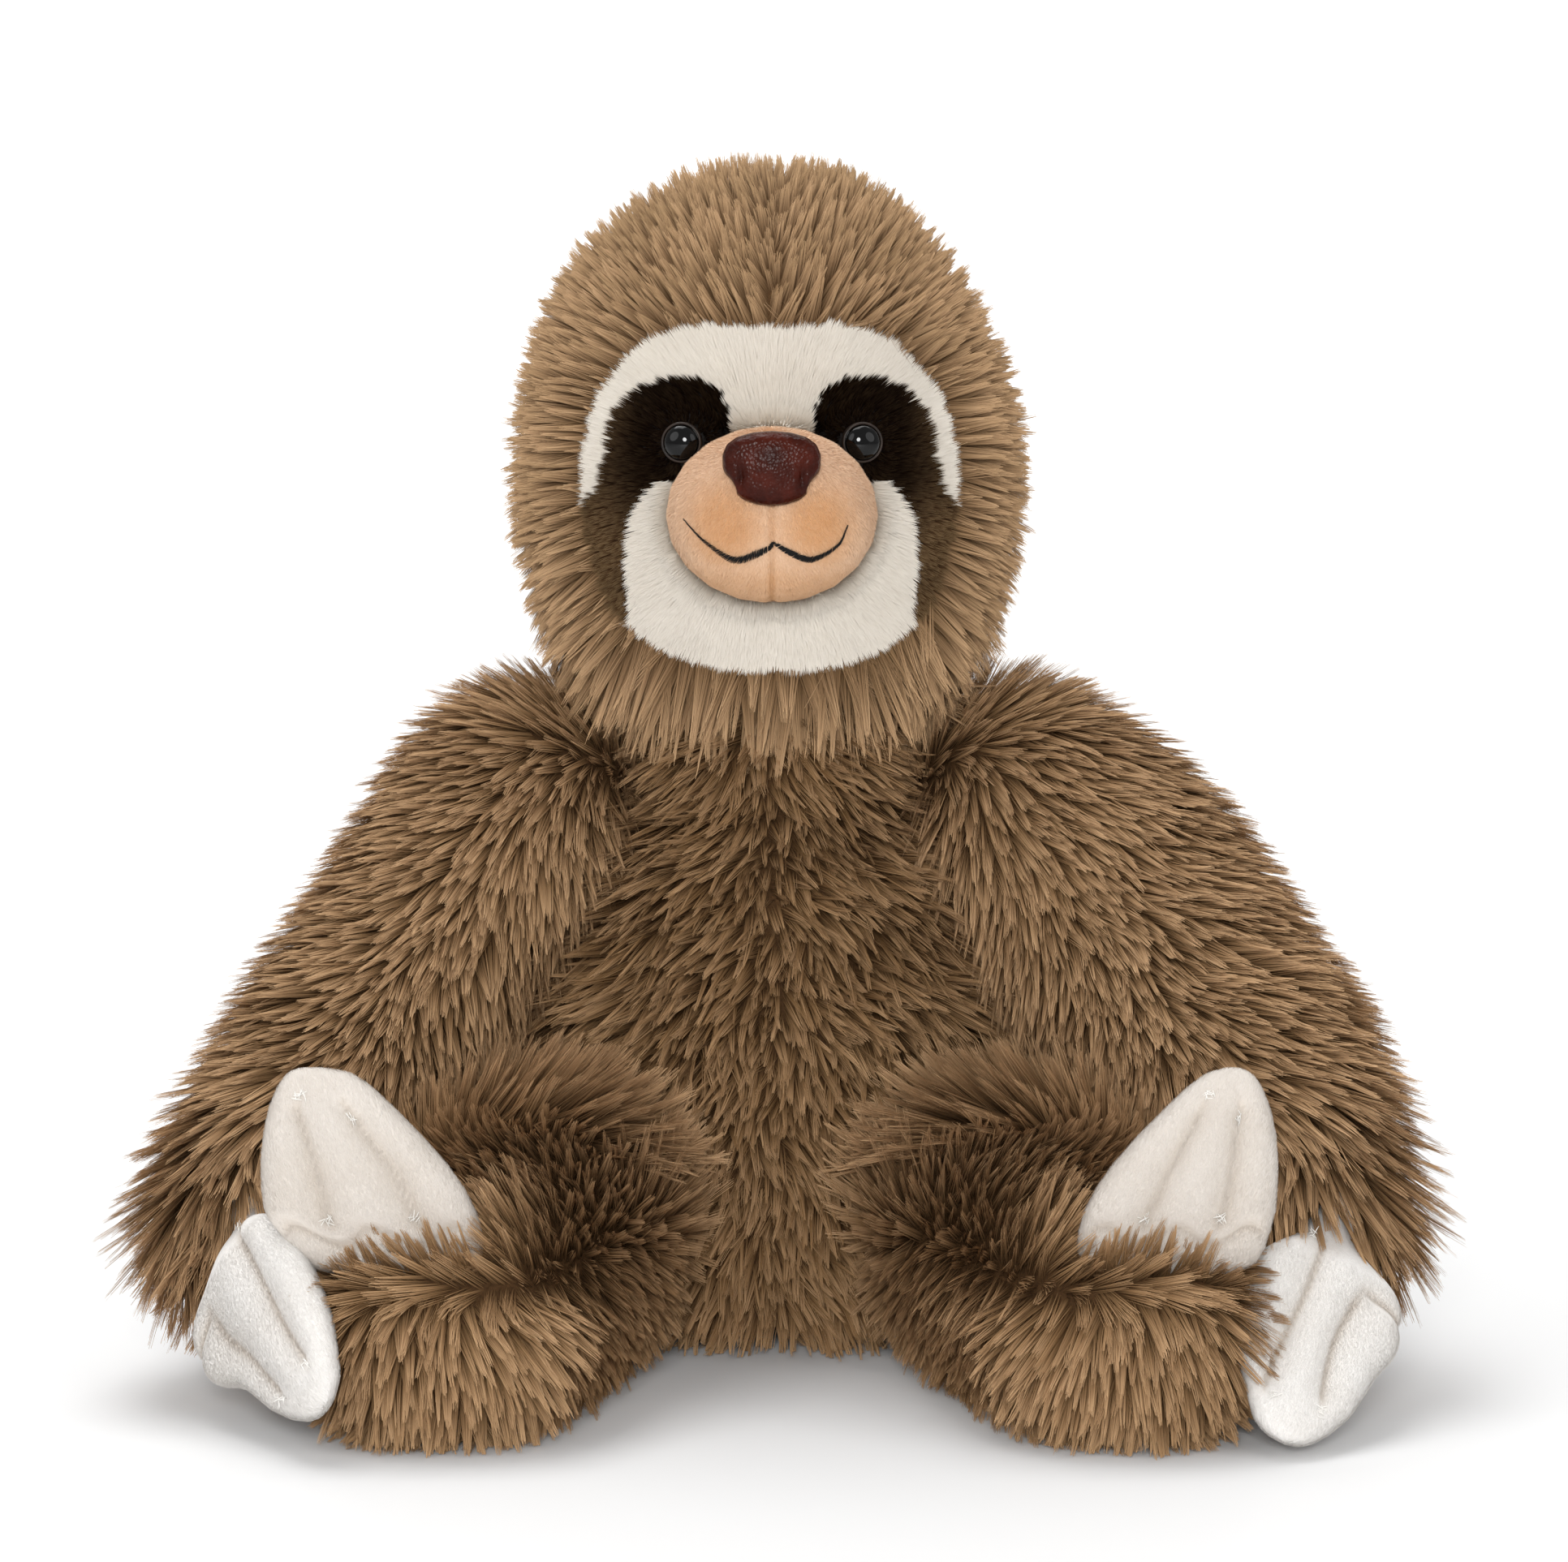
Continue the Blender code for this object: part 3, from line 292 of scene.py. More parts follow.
@dataclass(frozen=True)
class PlasticFinish:
    """Moulded plastic: two tones in soft clouds, fine pebbles, and a clear gloss."""

    name: str
    base: str
    shade: str
    roughness: float = 0.2
    coat: float = 0.6
    shine: float = 0.25
    pebble_scale: float = 900.0
    pebble: float = 0.0
    pebble_depth: float = 0.0004
    cloud_scale: float = 130.0
    pit_scale: float = 420.0

    def material(self) -> bpy.types.Material:
        """Makes the material, on Object coordinates."""
        material, nodes, shader = new_material(self.name)
        place = nodes.add("ShaderNodeTexCoord").outputs["Object"]
        cloud = nodes.noise(place, self.cloud_scale, 3.0)
        stops = [(0.35, linear(self.shade)), (0.62, linear(self.base))]
        nodes.feed(shader.inputs["Base Color"], nodes.ramp(cloud, stops))
        if self.pebble:
            cells = nodes.add("ShaderNodeTexVoronoi", {"Vector": place, "Scale": self.pebble_scale})
            height = nodes.math("ADD", cells.outputs["Distance"], nodes.noise(place, self.pit_scale, 4.0))
            relief = {"Height": height, "Strength": self.pebble, "Distance": self.pebble_depth}
            bumped = nodes.add("ShaderNodeBump", relief)
            nodes.feed(shader.inputs["Normal"], bumped.outputs["Normal"])
            nodes.feed(shader.inputs["Coat Normal"], bumped.outputs["Normal"])
        shader.inputs["Roughness"].default_value = self.roughness
        shader.inputs["Coat Weight"].default_value = self.coat
        shader.inputs["Specular IOR Level"].default_value = self.shine
        shader.inputs["Coat Roughness"].default_value = 0.06
        return material


class Pile(Enum):
    """The fabrics of the toy that have a pile."""

    # Its lighter strands carry the painted light on the arms, shoulders and thigh tops, its darker ones the
    # painted shade on the belly.
    BODY = HairFinish(
        "body_pile", "body_plush", ("412b16", "6e5337"), ("674a2c", "ab8862"), ("86643f", "d2ae86")
    )
    # Its lighter strands carry, besides the fringe's own colour, painted light on the chin fringe.
    HEAD = HairFinish(
        "head_pile", "head_plush", ("4f3822", "6d5236"), ("785d43", "9b7c5a"), ("9a7d59", "c6a37d")
    )
    WHITE = HairFinish(
        "white_pile", "white_plush", ("d2c9bb", "d8d0c4"), ("d9d1c5", "dfd8cd"), ("dcd5ca", "e3ddd3")
    )
    DARK = HairFinish(
        "dark_pile",
        "dark_plush",
        roots=("040100", "1c1007"),
        middles=("070201", "44301e"),
        tips=("0a0402", "80684a"),
        gloss=0.02,
    )
    # Its darker, more orange strands colour the airbrushed blush, and the painted shade on the lower rim and
    # along the seam.
    VELOUR = HairFinish(
        "velour_nap", "muzzle_velour", ("c08f60", "d8b99d"), ("c9986a", "dfc1a5"), ("cf9e70", "e4c8ad")
    )
    # Its darker strands carry the painted shade in the furrows and on the claws.
    VELBOA = HairFinish(
        "velboa_nap", "white_velboa", ("c2b7ab", "e4e2df"), ("c8beb3", "ebe9e7"), ("ccc3b9", "f0eeec")
    )


class Zone(Enum):
    """Which fabric a face of a skin belongs to."""

    PLUSH = 0
    WHITE = 1
    DARK = 2
    BARE = 3


@dataclass(frozen=True)
class Coat:
    """How a pile grows: strands and tufts per square centimetre, their width, and their angles in degrees."""

    pile: Pile
    strands: float
    tufts: float
    width: float
    root_angle: float
    tip_angle: float
    gathering: float
    stray: float
    segments: int
    seed: int
    roll: float = 0.9
    tone_share: float = 0.4
    tip_width: float = 0.0


LONG_PILE = Coat(
    Pile.BODY,
    strands=245,
    tufts=14.0,
    width=0.00032,
    root_angle=50,
    tip_angle=36,
    gathering=0.66,
    stray=0.26,
    segments=1,
    seed=301,
    tip_width=0.35,
)
SHORT_NAP = Coat(
    Pile.VELBOA,
    strands=800,
    tufts=60,
    width=0.00022,
    root_angle=26,
    tip_angle=12,
    gathering=0.1,
    stray=0.4,
    segments=1,
    seed=801,
    roll=0.4,
    tone_share=0.8,
)


class FurTree:
    """The node tree that grows strands in tufts on a skin, from the skin's own fields."""

    FLOATS = (
        "Strands",
        "Tufts",
        "Width",
        "Tip Width",
        "Root Angle",
        "Tip Angle",
        "Gathering",
        "Stray",
        "Roll",
        "Tone Share",
    )
    COUNTS = ("Segments", "Zone", "Panel", "Seed")

    def __init__(self) -> None:
        """Builds the tree."""
        self.tree = bpy.data.node_groups.new("plush_pile", "GeometryNodeTree")
        face = self.tree.interface
        face.new_socket("Geometry", in_out="OUTPUT", socket_type="NodeSocketGeometry")
        face.new_socket("Skin", in_out="INPUT", socket_type="NodeSocketGeometry")
        for names, kind in ((self.FLOATS, "Float"), (self.COUNTS, "Int"), (("Pile",), "Material")):
            for name in names:
                face.new_socket(name, in_out="INPUT", socket_type=f"NodeSocket{kind}")
        self.nodes = Nodes(self.tree)
        self.given = self.tree.nodes.new("NodeGroupInput").outputs
        self.build()

    def read(self, name: str, kind: str = "FLOAT_VECTOR") -> bpy.types.NodeSocket:
        """A named field of the geometry."""
        node = self.nodes.add("GeometryNodeInputNamedAttribute", data_type=kind)
        node.inputs["Name"].default_value = name
        return self.nodes.port(node.outputs, "Attribute")

    def store(
        self, mesh: Value, name: str, value: Value, kind: str = "FLOAT_VECTOR", domain: str = "POINT"
    ) -> Value:
        """Keeps a field on the geometry.

        Args:
            mesh: The geometry.
            name: What the field is called.
            value: What it holds.
            kind: Blender's name of its type.
            domain: Blender's name of what carries it.

        Returns:
            The geometry with the field.
        """
        node = self.nodes.add("GeometryNodeStoreNamedAttribute", data_type=kind, domain=domain)
        self.nodes.feed(node.inputs["Geometry"], mesh)
        node.inputs["Name"].default_value = name
        self.nodes.feed(self.nodes.port(node.inputs, "Value"), value)
        return node.outputs["Geometry"]

    def chance(self, low: Value, high: Value, shift: int, kind: str = "FLOAT") -> bpy.types.NodeSocket:
        """A random value for each element."""
        inputs = {"Min": low, "Max": high, "Seed": self.nodes.math("ADD", self.given["Seed"], shift)}
        node = self.nodes.add("FunctionNodeRandomValue", inputs, data_type=kind)
        return self.nodes.port(node.outputs, "Value")

    def scatter(self, density: Value, shift: int) -> bpy.types.NodeSocket:
        """Points on the faces of the wanted zone and panel."""
        n = self.nodes
        same_zone = n.math("COMPARE", self.read("zone", "INT"), self.given["Zone"], 0.4)
        same_panel = n.math("COMPARE", self.read("panel", "INT"), self.given["Panel"], 0.4)
        wanted = n.math("MULTIPLY", same_zone, same_panel)
        amount = n.math("MULTIPLY", density, self.read("growth", "FLOAT"))
        node = n.add(
            "GeometryNodeDistributePointsOnFaces",
            {"Mesh": self.given["Skin"], "Selection": wanted, "Density": amount},
            distribute_method="RANDOM",
        )
        n.feed(node.inputs["Seed"], n.math("ADD", self.given["Seed"], shift))
        return node.outputs["Points"]

    def lie(self, share: Value, outward: Value, comb: Value, reach: Value) -> bpy.types.NodeSocket:
        """How far a strand has come from its root, at a share of its way."""
        n = self.nodes
        square = n.math("MULTIPLY", n.math("MULTIPLY", share, share), 0.5)
        parts = []
        for turn, vector in (("SINE", outward), ("COSINE", comb)):
            first = n.math(turn, n.math("MULTIPLY", self.given["Root Angle"], self.read("lift", "FLOAT")))
            last = n.math(turn, n.math("MULTIPLY", self.given["Tip Angle"], self.read("lift", "FLOAT")))
            change = n.math("SUBTRACT", last, first)
            way = n.math("MULTIPLY_ADD", change, square, n.math("MULTIPLY", first, share))
            parts.append(n.scaled(vector, way))
        return n.scaled(n.total(*parts), reach)

    def blade(self) -> bpy.types.NodeSocket:
        """A flat strand that tapers to its tip, with its way along and across kept on it."""
        n = self.nodes
        rows = n.math("ADD", self.given["Segments"], 1)
        sizes = {"Size X": 2.0, "Size Y": 1.0, "Vertices X": 2, "Vertices Y": rows}
        grid = n.add("GeometryNodeMeshGrid", sizes)
        spot = n.add("ShaderNodeSeparateXYZ", {0: n.add("GeometryNodeInputPosition").outputs[0]})
        along = n.math("ADD", spot.outputs["Y"], 0.5)
        mesh = self.store(grid.outputs["Mesh"], "fur_along", along, "FLOAT")
        taper = n.math("SUBTRACT", 1.0, self.given["Tip Width"])
        thin = n.math("SUBTRACT", 1.0, n.math("MULTIPLY", n.math("POWER", along, 4.0), taper))
        across = n.math("MULTIPLY", spot.outputs["X"], thin)
        mesh = self.store(mesh, "fur_across", across, "FLOAT")
        mesh = self.store(mesh, "fur_edge", spot.outputs["X"], "FLOAT", "CORNER")
        narrow = n.add("ShaderNodeCombineXYZ", {0: across, 1: spot.outputs["Y"]})
        mesh = n.add("GeometryNodeSetPosition", {"Geometry": mesh, "Position": narrow.outputs[0]}).outputs[0]
        return n.add("GeometryNodeMergeByDistance", {"Geometry": mesh, "Distance": 0.0005}).outputs[0]

    def build(self) -> None:
        """Joins the whole tree."""
        n = self.nodes
        tufts = self.scatter(self.given["Tufts"], 11)
        straying = n.scaled(self.chance((-1.0,) * 3, (1.0,) * 3, 3, "FLOAT_VECTOR"), self.given["Stray"])
        tufts = self.store(tufts, "comb", n.vector("ADD", self.read("comb"), straying))
        tufts = self.store(tufts, "outward", n.vector("ADD", self.read("outward"), n.scaled(straying, 0.5)))
        tufts = self.store(tufts, "tint", self.chance(0.0, 1.0, 5), "FLOAT")
        points = self.scatter(self.given["Strands"], 23)
        place = n.add("GeometryNodeInputPosition").outputs[0]
        near = n.add("GeometryNodeSampleNearest", {"Geometry": tufts}, domain="POINT").outputs["Index"]
        for name, field_value, kind in (
            ("place", place, "FLOAT_VECTOR"),
            ("outward", self.read("outward"), "FLOAT_VECTOR"),
            ("comb", self.read("comb"), "FLOAT_VECTOR"),
            ("reach", self.read("reach", "FLOAT"), "FLOAT"),
            ("tint", self.read("tint", "FLOAT"), "FLOAT"),
        ):
            taken = n.add("GeometryNodeSampleIndex", data_type=kind, domain="POINT")
            n.feed(taken.inputs["Geometry"], tufts)
            n.feed(n.port(taken.inputs, "Value"), field_value)
            n.feed(taken.inputs["Index"], near)
            points = self.store(points, f"fur_tuft_{name}", n.port(taken.outputs, "Value"), kind)
        points = self.store(points, "fur_root", place)
        points = self.store(points, "fur_size", self.chance(0.86, 1.05, 31), "FLOAT")
        roll = n.math("MULTIPLY", self.chance(-1.0, 1.0, 37), self.given["Roll"])
        points = self.store(points, "fur_roll", roll, "FLOAT")
        points = self.store(points, "fur_tone", self.chance(0.0, 1.0, 41), "FLOAT")
        placed = n.add("GeometryNodeInstanceOnPoints", {"Points": points, "Instance": self.blade()})
        mesh = n.add("GeometryNodeRealizeInstances", {"Geometry": placed.outputs[0]}).outputs[0]
        mesh = n.add("GeometryNodeSetPosition", {"Geometry": mesh, "Position": self.shape()}).outputs[0]
        mesh = self.store(mesh, HAIR_MAP, self.chart(), "FLOAT2", "CORNER")
        mesh = n.add("GeometryNodeSetMaterial", {"Geometry": mesh, "Material": self.given["Pile"]}).outputs[0]
        out = self.tree.nodes.new("NodeGroupOutput")
        n.feed(out.inputs[0], mesh)

    def shape(self) -> bpy.types.NodeSocket:
        """Where each point of a strand lies."""
        n = self.nodes
        along = self.read("fur_along", "FLOAT")
        share = n.math("MULTIPLY", along, self.read("fur_size", "FLOAT"))
        root = self.read("fur_root")
        outward = self.read("outward")
        comb = self.read("comb")
        own = n.total(root, self.lie(share, outward, comb, self.read("reach", "FLOAT")))
        tuft_outward, tuft_comb = self.read("fur_tuft_outward"), self.read("fur_tuft_comb")
        tuft_lie = self.lie(share, tuft_outward, tuft_comb, self.read("fur_tuft_reach", "FLOAT"))
        tuft = n.total(self.read("fur_tuft_place"), tuft_lie)
        pull = n.math("MULTIPLY", along, self.given["Gathering"])
        line = n.total(own, n.scaled(n.vector("SUBTRACT", tuft, own), pull))
        roll = self.read("fur_roll", "FLOAT")
        flat = n.vector("NORMALIZE", n.vector("CROSS_PRODUCT", comb, outward))
        width = n.total(n.scaled(flat, n.math("COSINE", roll)), n.scaled(outward, n.math("SINE", roll)))
        half_width = n.math("MULTIPLY", self.given["Width"], 0.5)
        across = n.math("MULTIPLY", self.read("fur_across", "FLOAT"), half_width)
        spot = n.add("ShaderNodeSeparateXYZ", {0: n.total(line, n.scaled(width, across))})
        above = n.math("MAXIMUM", spot.outputs["Z"], STRAND_FLOOR_GAP)
        found = n.add("ShaderNodeCombineXYZ", {0: spot.outputs["X"], 1: spot.outputs["Y"], 2: above})
        return found.outputs[0]

    def chart(self) -> bpy.types.NodeSocket:
        """A strand's place on the colour chart: its tint, and its way from the root."""
        n = self.nodes
        chance = n.math("SUBTRACT", 0.96, self.given["Tone Share"])
        tint: Value = 0.02
        for name, weight in (
            ("fur_tuft_tint", n.math("MULTIPLY", chance, 0.54)),
            ("fur_tone", n.math("MULTIPLY", chance, 0.46)),
            ("tone", self.given["Tone Share"]),
            ("fur_edge", 0.01),
        ):
            tint = n.math("MULTIPLY_ADD", self.read(name, "FLOAT"), weight, tint)
        return n.add("ShaderNodeCombineXYZ", {0: tint, 1: self.read("fur_along", "FLOAT")}).outputs[0]

    def grow(self, name: str, skin: bpy.types.Object, coat: Coat, zone: Zone, panel: int) -> bpy.types.Object:
        """Grows one panel's pile as a plain mesh.

        Args:
            name: The piece's name.
            skin: The skin that it grows on, with its fields.
            coat: How it grows.
            zone: The fabric's faces.
            panel: The panel's number.

        Returns:
            The piece.
        """
        share = 1.0
        settings = {
            "Strands": coat.strands * PER_SQUARE_METRE * share,
            "Tufts": coat.tufts * PER_SQUARE_METRE,
            "Width": coat.width / math.sqrt(share),
            "Tip Width": coat.tip_width,
            "Root Angle": math.radians(coat.root_angle),
            "Tip Angle": math.radians(coat.tip_angle),
            "Gathering": coat.gathering,
            "Stray": coat.stray,
            "Roll": coat.roll,
            "Tone Share": coat.tone_share,
            "Segments": coat.segments,
            "Zone": zone.value,
            "Panel": panel,
            "Seed": coat.seed + PANEL_SEED_STEP * panel,
            "Pile": pile_material(coat.pile),
        }
        bed = bpy.data.objects.new(name + "_bed", skin.data)
        bpy.context.scene.collection.objects.link(bed)
        modifier = bed.modifiers.new("pile", "NODES")
        modifier.node_group = self.tree
        for socket in self.tree.interface.items_tree:
            if socket.item_type == "SOCKET" and socket.name in settings:
                modifier[socket.identifier] = settings[socket.name]
        mesh = settled(bed)
        modifier.node_group = None
        bpy.data.objects.remove(bed)
        for kept in [a.name for a in mesh.attributes if a.name.startswith("fur_")]:
            mesh.attributes.remove(mesh.attributes[kept])
        strip(mesh, (*FIELD_NAMES, "tint"))
        LOG.info("%s: %d faces", name, len(mesh.polygons))
        return linked(name, mesh)


def pile_material(pile: Pile) -> bpy.types.Material:
    """The material of a pile, made once."""
    return bpy.data.materials.get(pile.value.name) or pile.value.material()


def linked(name: str, mesh: bpy.types.Mesh) -> bpy.types.Object:
    """Puts a mesh in the scene as an object at the origin."""
    mesh.name = name
    obj = bpy.data.objects.new(name, mesh)
    bpy.context.scene.collection.objects.link(obj)
    return obj


def settled(obj: bpy.types.Object) -> bpy.types.Mesh:
    """The object's mesh with its modifiers applied."""
    bpy.context.view_layer.update()
    graph = bpy.context.evaluated_depsgraph_get()
    return bpy.data.meshes.new_from_object(obj.evaluated_get(graph))


def strip(mesh: bpy.types.Mesh, names: Iterable[str]) -> None:
    """Takes some of a mesh's fields away."""
    for name in names:
        if name in mesh.attributes:
            mesh.attributes.remove(mesh.attributes[name])


def points_of(mesh: bpy.types.Mesh) -> Array:
    """The mesh's vertices as rows."""
    found = np.zeros(len(mesh.vertices) * 3, np.float32)
    mesh.vertices.foreach_get("co", found)
    return found.reshape(-1, 3).astype(float)


def normals_of(mesh: bpy.types.Mesh) -> Array:
    """The mesh's vertex normals as rows."""
    found = np.zeros(len(mesh.vertices) * 3, np.float32)
    mesh.vertex_normals.foreach_get("vector", found)
    return found.reshape(-1, 3).astype(float)


def tree_of(solids: dict, names: Iterable[str]) -> BVHTree:
    """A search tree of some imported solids."""
    vertices: list = []
    triangles: list = []
    for name in names:
        mesh = solids[name].data
        mesh.calc_loop_triangles()
        start = len(vertices)
        vertices += [v.co.copy() for v in mesh.vertices]
        triangles += [tuple(start + i for i in t.vertices) for t in mesh.loop_triangles]
    return BVHTree.FromPolygons(vertices, triangles)


def clearance(tree: BVHTree, places: Array, outward: Array, room: float = 0.03) -> Array:
    """How far each place looks out before it meets a tree.

    Args:
        tree: The neighbours.
        places: Where the look starts.
        outward: Which way it goes.
        room: Where it ends.

    Returns:
        The free way of each place, at most the room.
    """
    found = np.full(len(places), room)
    for row, (place, way) in enumerate(zip(places, outward)):
        hit = tree.ray_cast(Vector(place), Vector(way), room)
        if hit[0] is not None:
            found[row] = hit[3]
    return found


def patches(places: Array, scale: float) -> Array:
    """Soft light and dark patches, from sums of waves.

    Args:
        places: Where they are asked for.
        scale: Metres from patch to patch.

    Returns:
        A share of lightness for each place.
    """
    axes = np.array([[0.8, 0.5, -0.33], [-0.6, 0.7, 0.39], [0.43, -0.11, 0.9]])
    turned = places @ axes * (math.tau / scale)
    waves = np.sin(turned[:, 0]) * np.cos(turned[:, 1] * 0.83) + np.sin(turned[:, 2] * 1.27 + 1.3)
    waves += 0.6 * np.sin(turned[:, 1] * 2.3 + 0.7) * np.cos(turned[:, 2] * 1.9)
    return np.clip(0.5 + waves / 4.2, 0.0, 1.0)


def swirls(places: Array, scale: float) -> Array:
    """Slow turns of a pile's lie, from -1 to 1 on each axis."""
    return np.stack([patches(places + shift, scale) for shift in (0.0, 0.11, 0.23)], 1) * 2 - 1


def bump(values: Array, centre: float, width: float) -> Array:
    """A bell round a centre."""
    return np.exp(-(((values - centre) / width) ** 2))


def distances(tree: BVHTree, places: Array) -> Array:
    """How far each place lies from a tree."""
    return np.array([tree.find_nearest(Vector(p))[3] for p in places])


@dataclass
class Skin:
    """The closed backing of one body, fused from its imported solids."""

    name: str
    body: str
    starts: tuple[str, ...]
    slot: str
    neighbours: tuple[str, ...] = ()
    voxel: float = 0.0028
    smoothing: int = 12
    fill: float = 0.7
    meets: tuple[str, ...] = ()

    def parts(self, solids: dict) -> list[str]:
        """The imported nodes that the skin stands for."""
        return [name for name in solids if name.startswith(self.starts)]

    def fuse(self, solids: dict) -> bpy.types.Mesh:
        """Joins the solids into one closed mesh.

        Args:
            solids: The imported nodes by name.

        Returns:
            The largest closed surface, smoothed.
        """
        joined = bmesh.new()
        for part in self.parts(solids):
            joined.from_mesh(solids[part].data)
        bmesh.ops.remove_doubles(joined, verts=joined.verts, dist=1e-6)
        mesh = bpy.data.meshes.new(self.name)
        joined.to_mesh(mesh)
        joined.free()
        raw = linked(self.name + "_raw", mesh)
        remesh = raw.modifiers.new("fused", "REMESH")
        remesh.mode = "VOXEL"
        remesh.voxel_size = self.voxel
        smooth = raw.modifiers.new("smooth", "SMOOTH")
        smooth.factor = 0.5
        smooth.iterations = self.smoothing
        found = settled(raw)
        bpy.data.objects.remove(raw)
        return self.outer(found)

    @staticmethod
    def outer(mesh: bpy.types.Mesh) -> bpy.types.Mesh:
        """Leaves only the largest of a mesh's loose shells."""
        shells = bmesh.new()
        shells.from_mesh(mesh)
        left = set(shells.verts)
        groups = []
        while left:
            stack = [left.pop()]
            group = list(stack)
            while stack:
                for edge in stack.pop().link_edges:
                    for vertex in edge.verts:
                        if vertex in left:
                            left.discard(vertex)
                            stack.append(vertex)
                            group.append(vertex)
            groups.append(group)
        groups.sort(key=len)
        for group in groups[:-1]:
            bmesh.ops.delete(shells, geom=group, context="VERTS")
        shells.to_mesh(mesh)
        shells.free()
        mesh.shade_smooth()
        return mesh


@dataclass
class Fields:
    """What a pile follows: a row for each vertex of its skin, and a zone for each face."""

    comb: Array
    reach: Array
    growth: Array
    tone: Array
    swell: Array
    panel: Array
    lift: Array


@dataclass
class Pelt:
    """A stuffed form under a pile: its skin, the fields on it and its coats."""

    skin: Skin = field(init=False)
    coats: dict[Zone, Coat] = field(init=False)
    short_reach: float = field(default=0.011, init=False)
    unrest: float = field(default=0.1, init=False)

    def fields(self, places: Array, outward: Array) -> Fields:
        """Works out the fields of the skin.

        Args:
            places: The skin's vertices.
            outward: Their normals.

        Returns:
            The fields.
        """
        raise NotImplementedError

    def zones(self, solids: dict, centres: Array) -> Array:
        """The fabric of each face, the first one unless a form has more."""
        return np.zeros(len(centres), int)

    def adapt(self, fields: Fields, places: Array, outward: Array, zone_of: Array) -> None:
        """Lets a form change its fields where its fabrics differ."""

    def fit(self, fields: Fields, solids: dict, places: Array, outward: Array) -> None:
        """Fits the fields to what lies beside the form.

        The pile is shorter and sparser where a neighbour is near, none grows on the seat, and the comb lies
        in the surface.

        Args:
            fields: What is changed.
            solids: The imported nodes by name.
            places: The skin's vertices.
            outward: Their normals.
        """
        if self.skin.meets:
            gap = distances(tree_of(solids, [n for n in solids if n.startswith(self.skin.meets)]), places)
            near = 1 - ease(gap, 0.001, 0.006)
            fields.swell = fields.swell * (1 - near) + 0.0004 * near
            fields.lift = fields.lift + 0.5 * near
        around = [n for n in solids if n.startswith(self.skin.neighbours) and "stuffing" not in n]
        if self.skin.neighbours and around:
            free = ease(clearance(tree_of(solids, around), places, outward), 0.0015, 0.010)
            longer = fields.reach - self.short_reach
            fields.reach = np.minimum(fields.reach, self.short_reach + longer * free)
            fields.growth = fields.growth * (0.7 + 0.3 * free)
        fields.growth = fields.growth * ((places[:, 2] > 0.003) | (outward[:, 2] > -0.7))
        fields.comb = unit(fields.comb) + swirls(places, 0.045) * self.unrest
        fields.comb = unit(fields.comb - outward * (fields.comb * outward).sum(1, keepdims=True))

    def build(self, solids: dict, tree: FurTree, cloths: dict[Zone, bpy.types.Material]) -> bpy.types.Object:
        """Builds the skin, grows its pile and puts both on their body.

        Args:
            solids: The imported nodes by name.
            tree: The pile's node tree.
            cloths: The backing of each fabric.

        Returns:
            The skin.
        """
        mesh = self.skin.fuse(solids)
        places = points_of(mesh)
        outward = unit(normals_of(mesh))
        centres = np.array([face.center[:] for face in mesh.polygons])
        zone = self.zones(solids, centres)
        zone_of = np.zeros(len(places), int)
        for face, value in zip(mesh.polygons, zone):
            for vertex in face.vertices:
                zone_of[vertex] = max(zone_of[vertex], value)
        fields = self.fields(places, outward)
        self.adapt(fields, places, outward, zone_of)
        self.fit(fields, solids, places, outward)
        swollen = places + outward * fields.swell[:, None]
        swollen[:, 2] = np.maximum(swollen[:, 2], SKIN_FLOOR_GAP)
        mesh.vertices.foreach_set("co", swollen.astype(np.float32).ravel())
        mesh.update()
        obj = linked(self.skin.name + "_skin", mesh)
        mesh.materials.clear()
        kinds = list(cloths)
        for kind in kinds:
            mesh.materials.append(cloths[kind])
        index = np.array([kinds.index(Zone(v)) if Zone(v) in cloths else 0 for v in zone], np.int32)
        mesh.polygons.foreach_set("material_index", index)
        self.write(mesh, outward, fields, zone)
        pieces = self.dress(obj, tree)
        strip(mesh, [name for name in FIELD_NAMES if name != "tone"])
        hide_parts(*self.skin.parts(solids))
        for piece in (obj, *pieces):
            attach(piece, self.skin.body)
        LOG.info("%s: %d faces of skin, %d pieces of pile", self.skin.name, len(mesh.polygons), len(pieces))
        return obj

    @staticmethod
    def write(mesh: bpy.types.Mesh, outward: Array, fields: Fields, zone: Array) -> None:
        """Puts the fields on the mesh."""
        for name, values in (("outward", outward), ("comb", fields.comb)):
            made = mesh.attributes.new(name, "FLOAT_VECTOR", "POINT")
            made.data.foreach_set("vector", values.astype(np.float32).ravel())
        for name in ("reach", "growth", "lift", "tone"):
            made = mesh.attributes.new(name, "FLOAT", "POINT")
            made.data.foreach_set("value", getattr(fields, name).astype(np.float32))
        first = np.array([face.vertices[0] for face in mesh.polygons])
        for name, values in (("panel", fields.panel[first]), ("zone", zone)):
            made = mesh.attributes.new(name, "INT", "FACE")
            made.data.foreach_set("value", values.astype(np.int32))

    def dress(self, obj: bpy.types.Object, tree: FurTree) -> list[bpy.types.Object]:
        """Grows every coat, panel by panel."""
        made = []
        zones = [row.value for row in obj.data.attributes["zone"].data]
        panels = [row.value for row in obj.data.attributes["panel"].data]
        for value, panel in sorted(set(zip(zones, panels))):
            zone = Zone(value)
            if zone in self.coats:
                coat = self.coats[zone]
                name = f"{self.skin.name}_{coat.pile.name.lower()}_pile_{panel}"
                piece = tree.grow(name, obj, coat, zone, panel)
                made.append(piece)
        return made


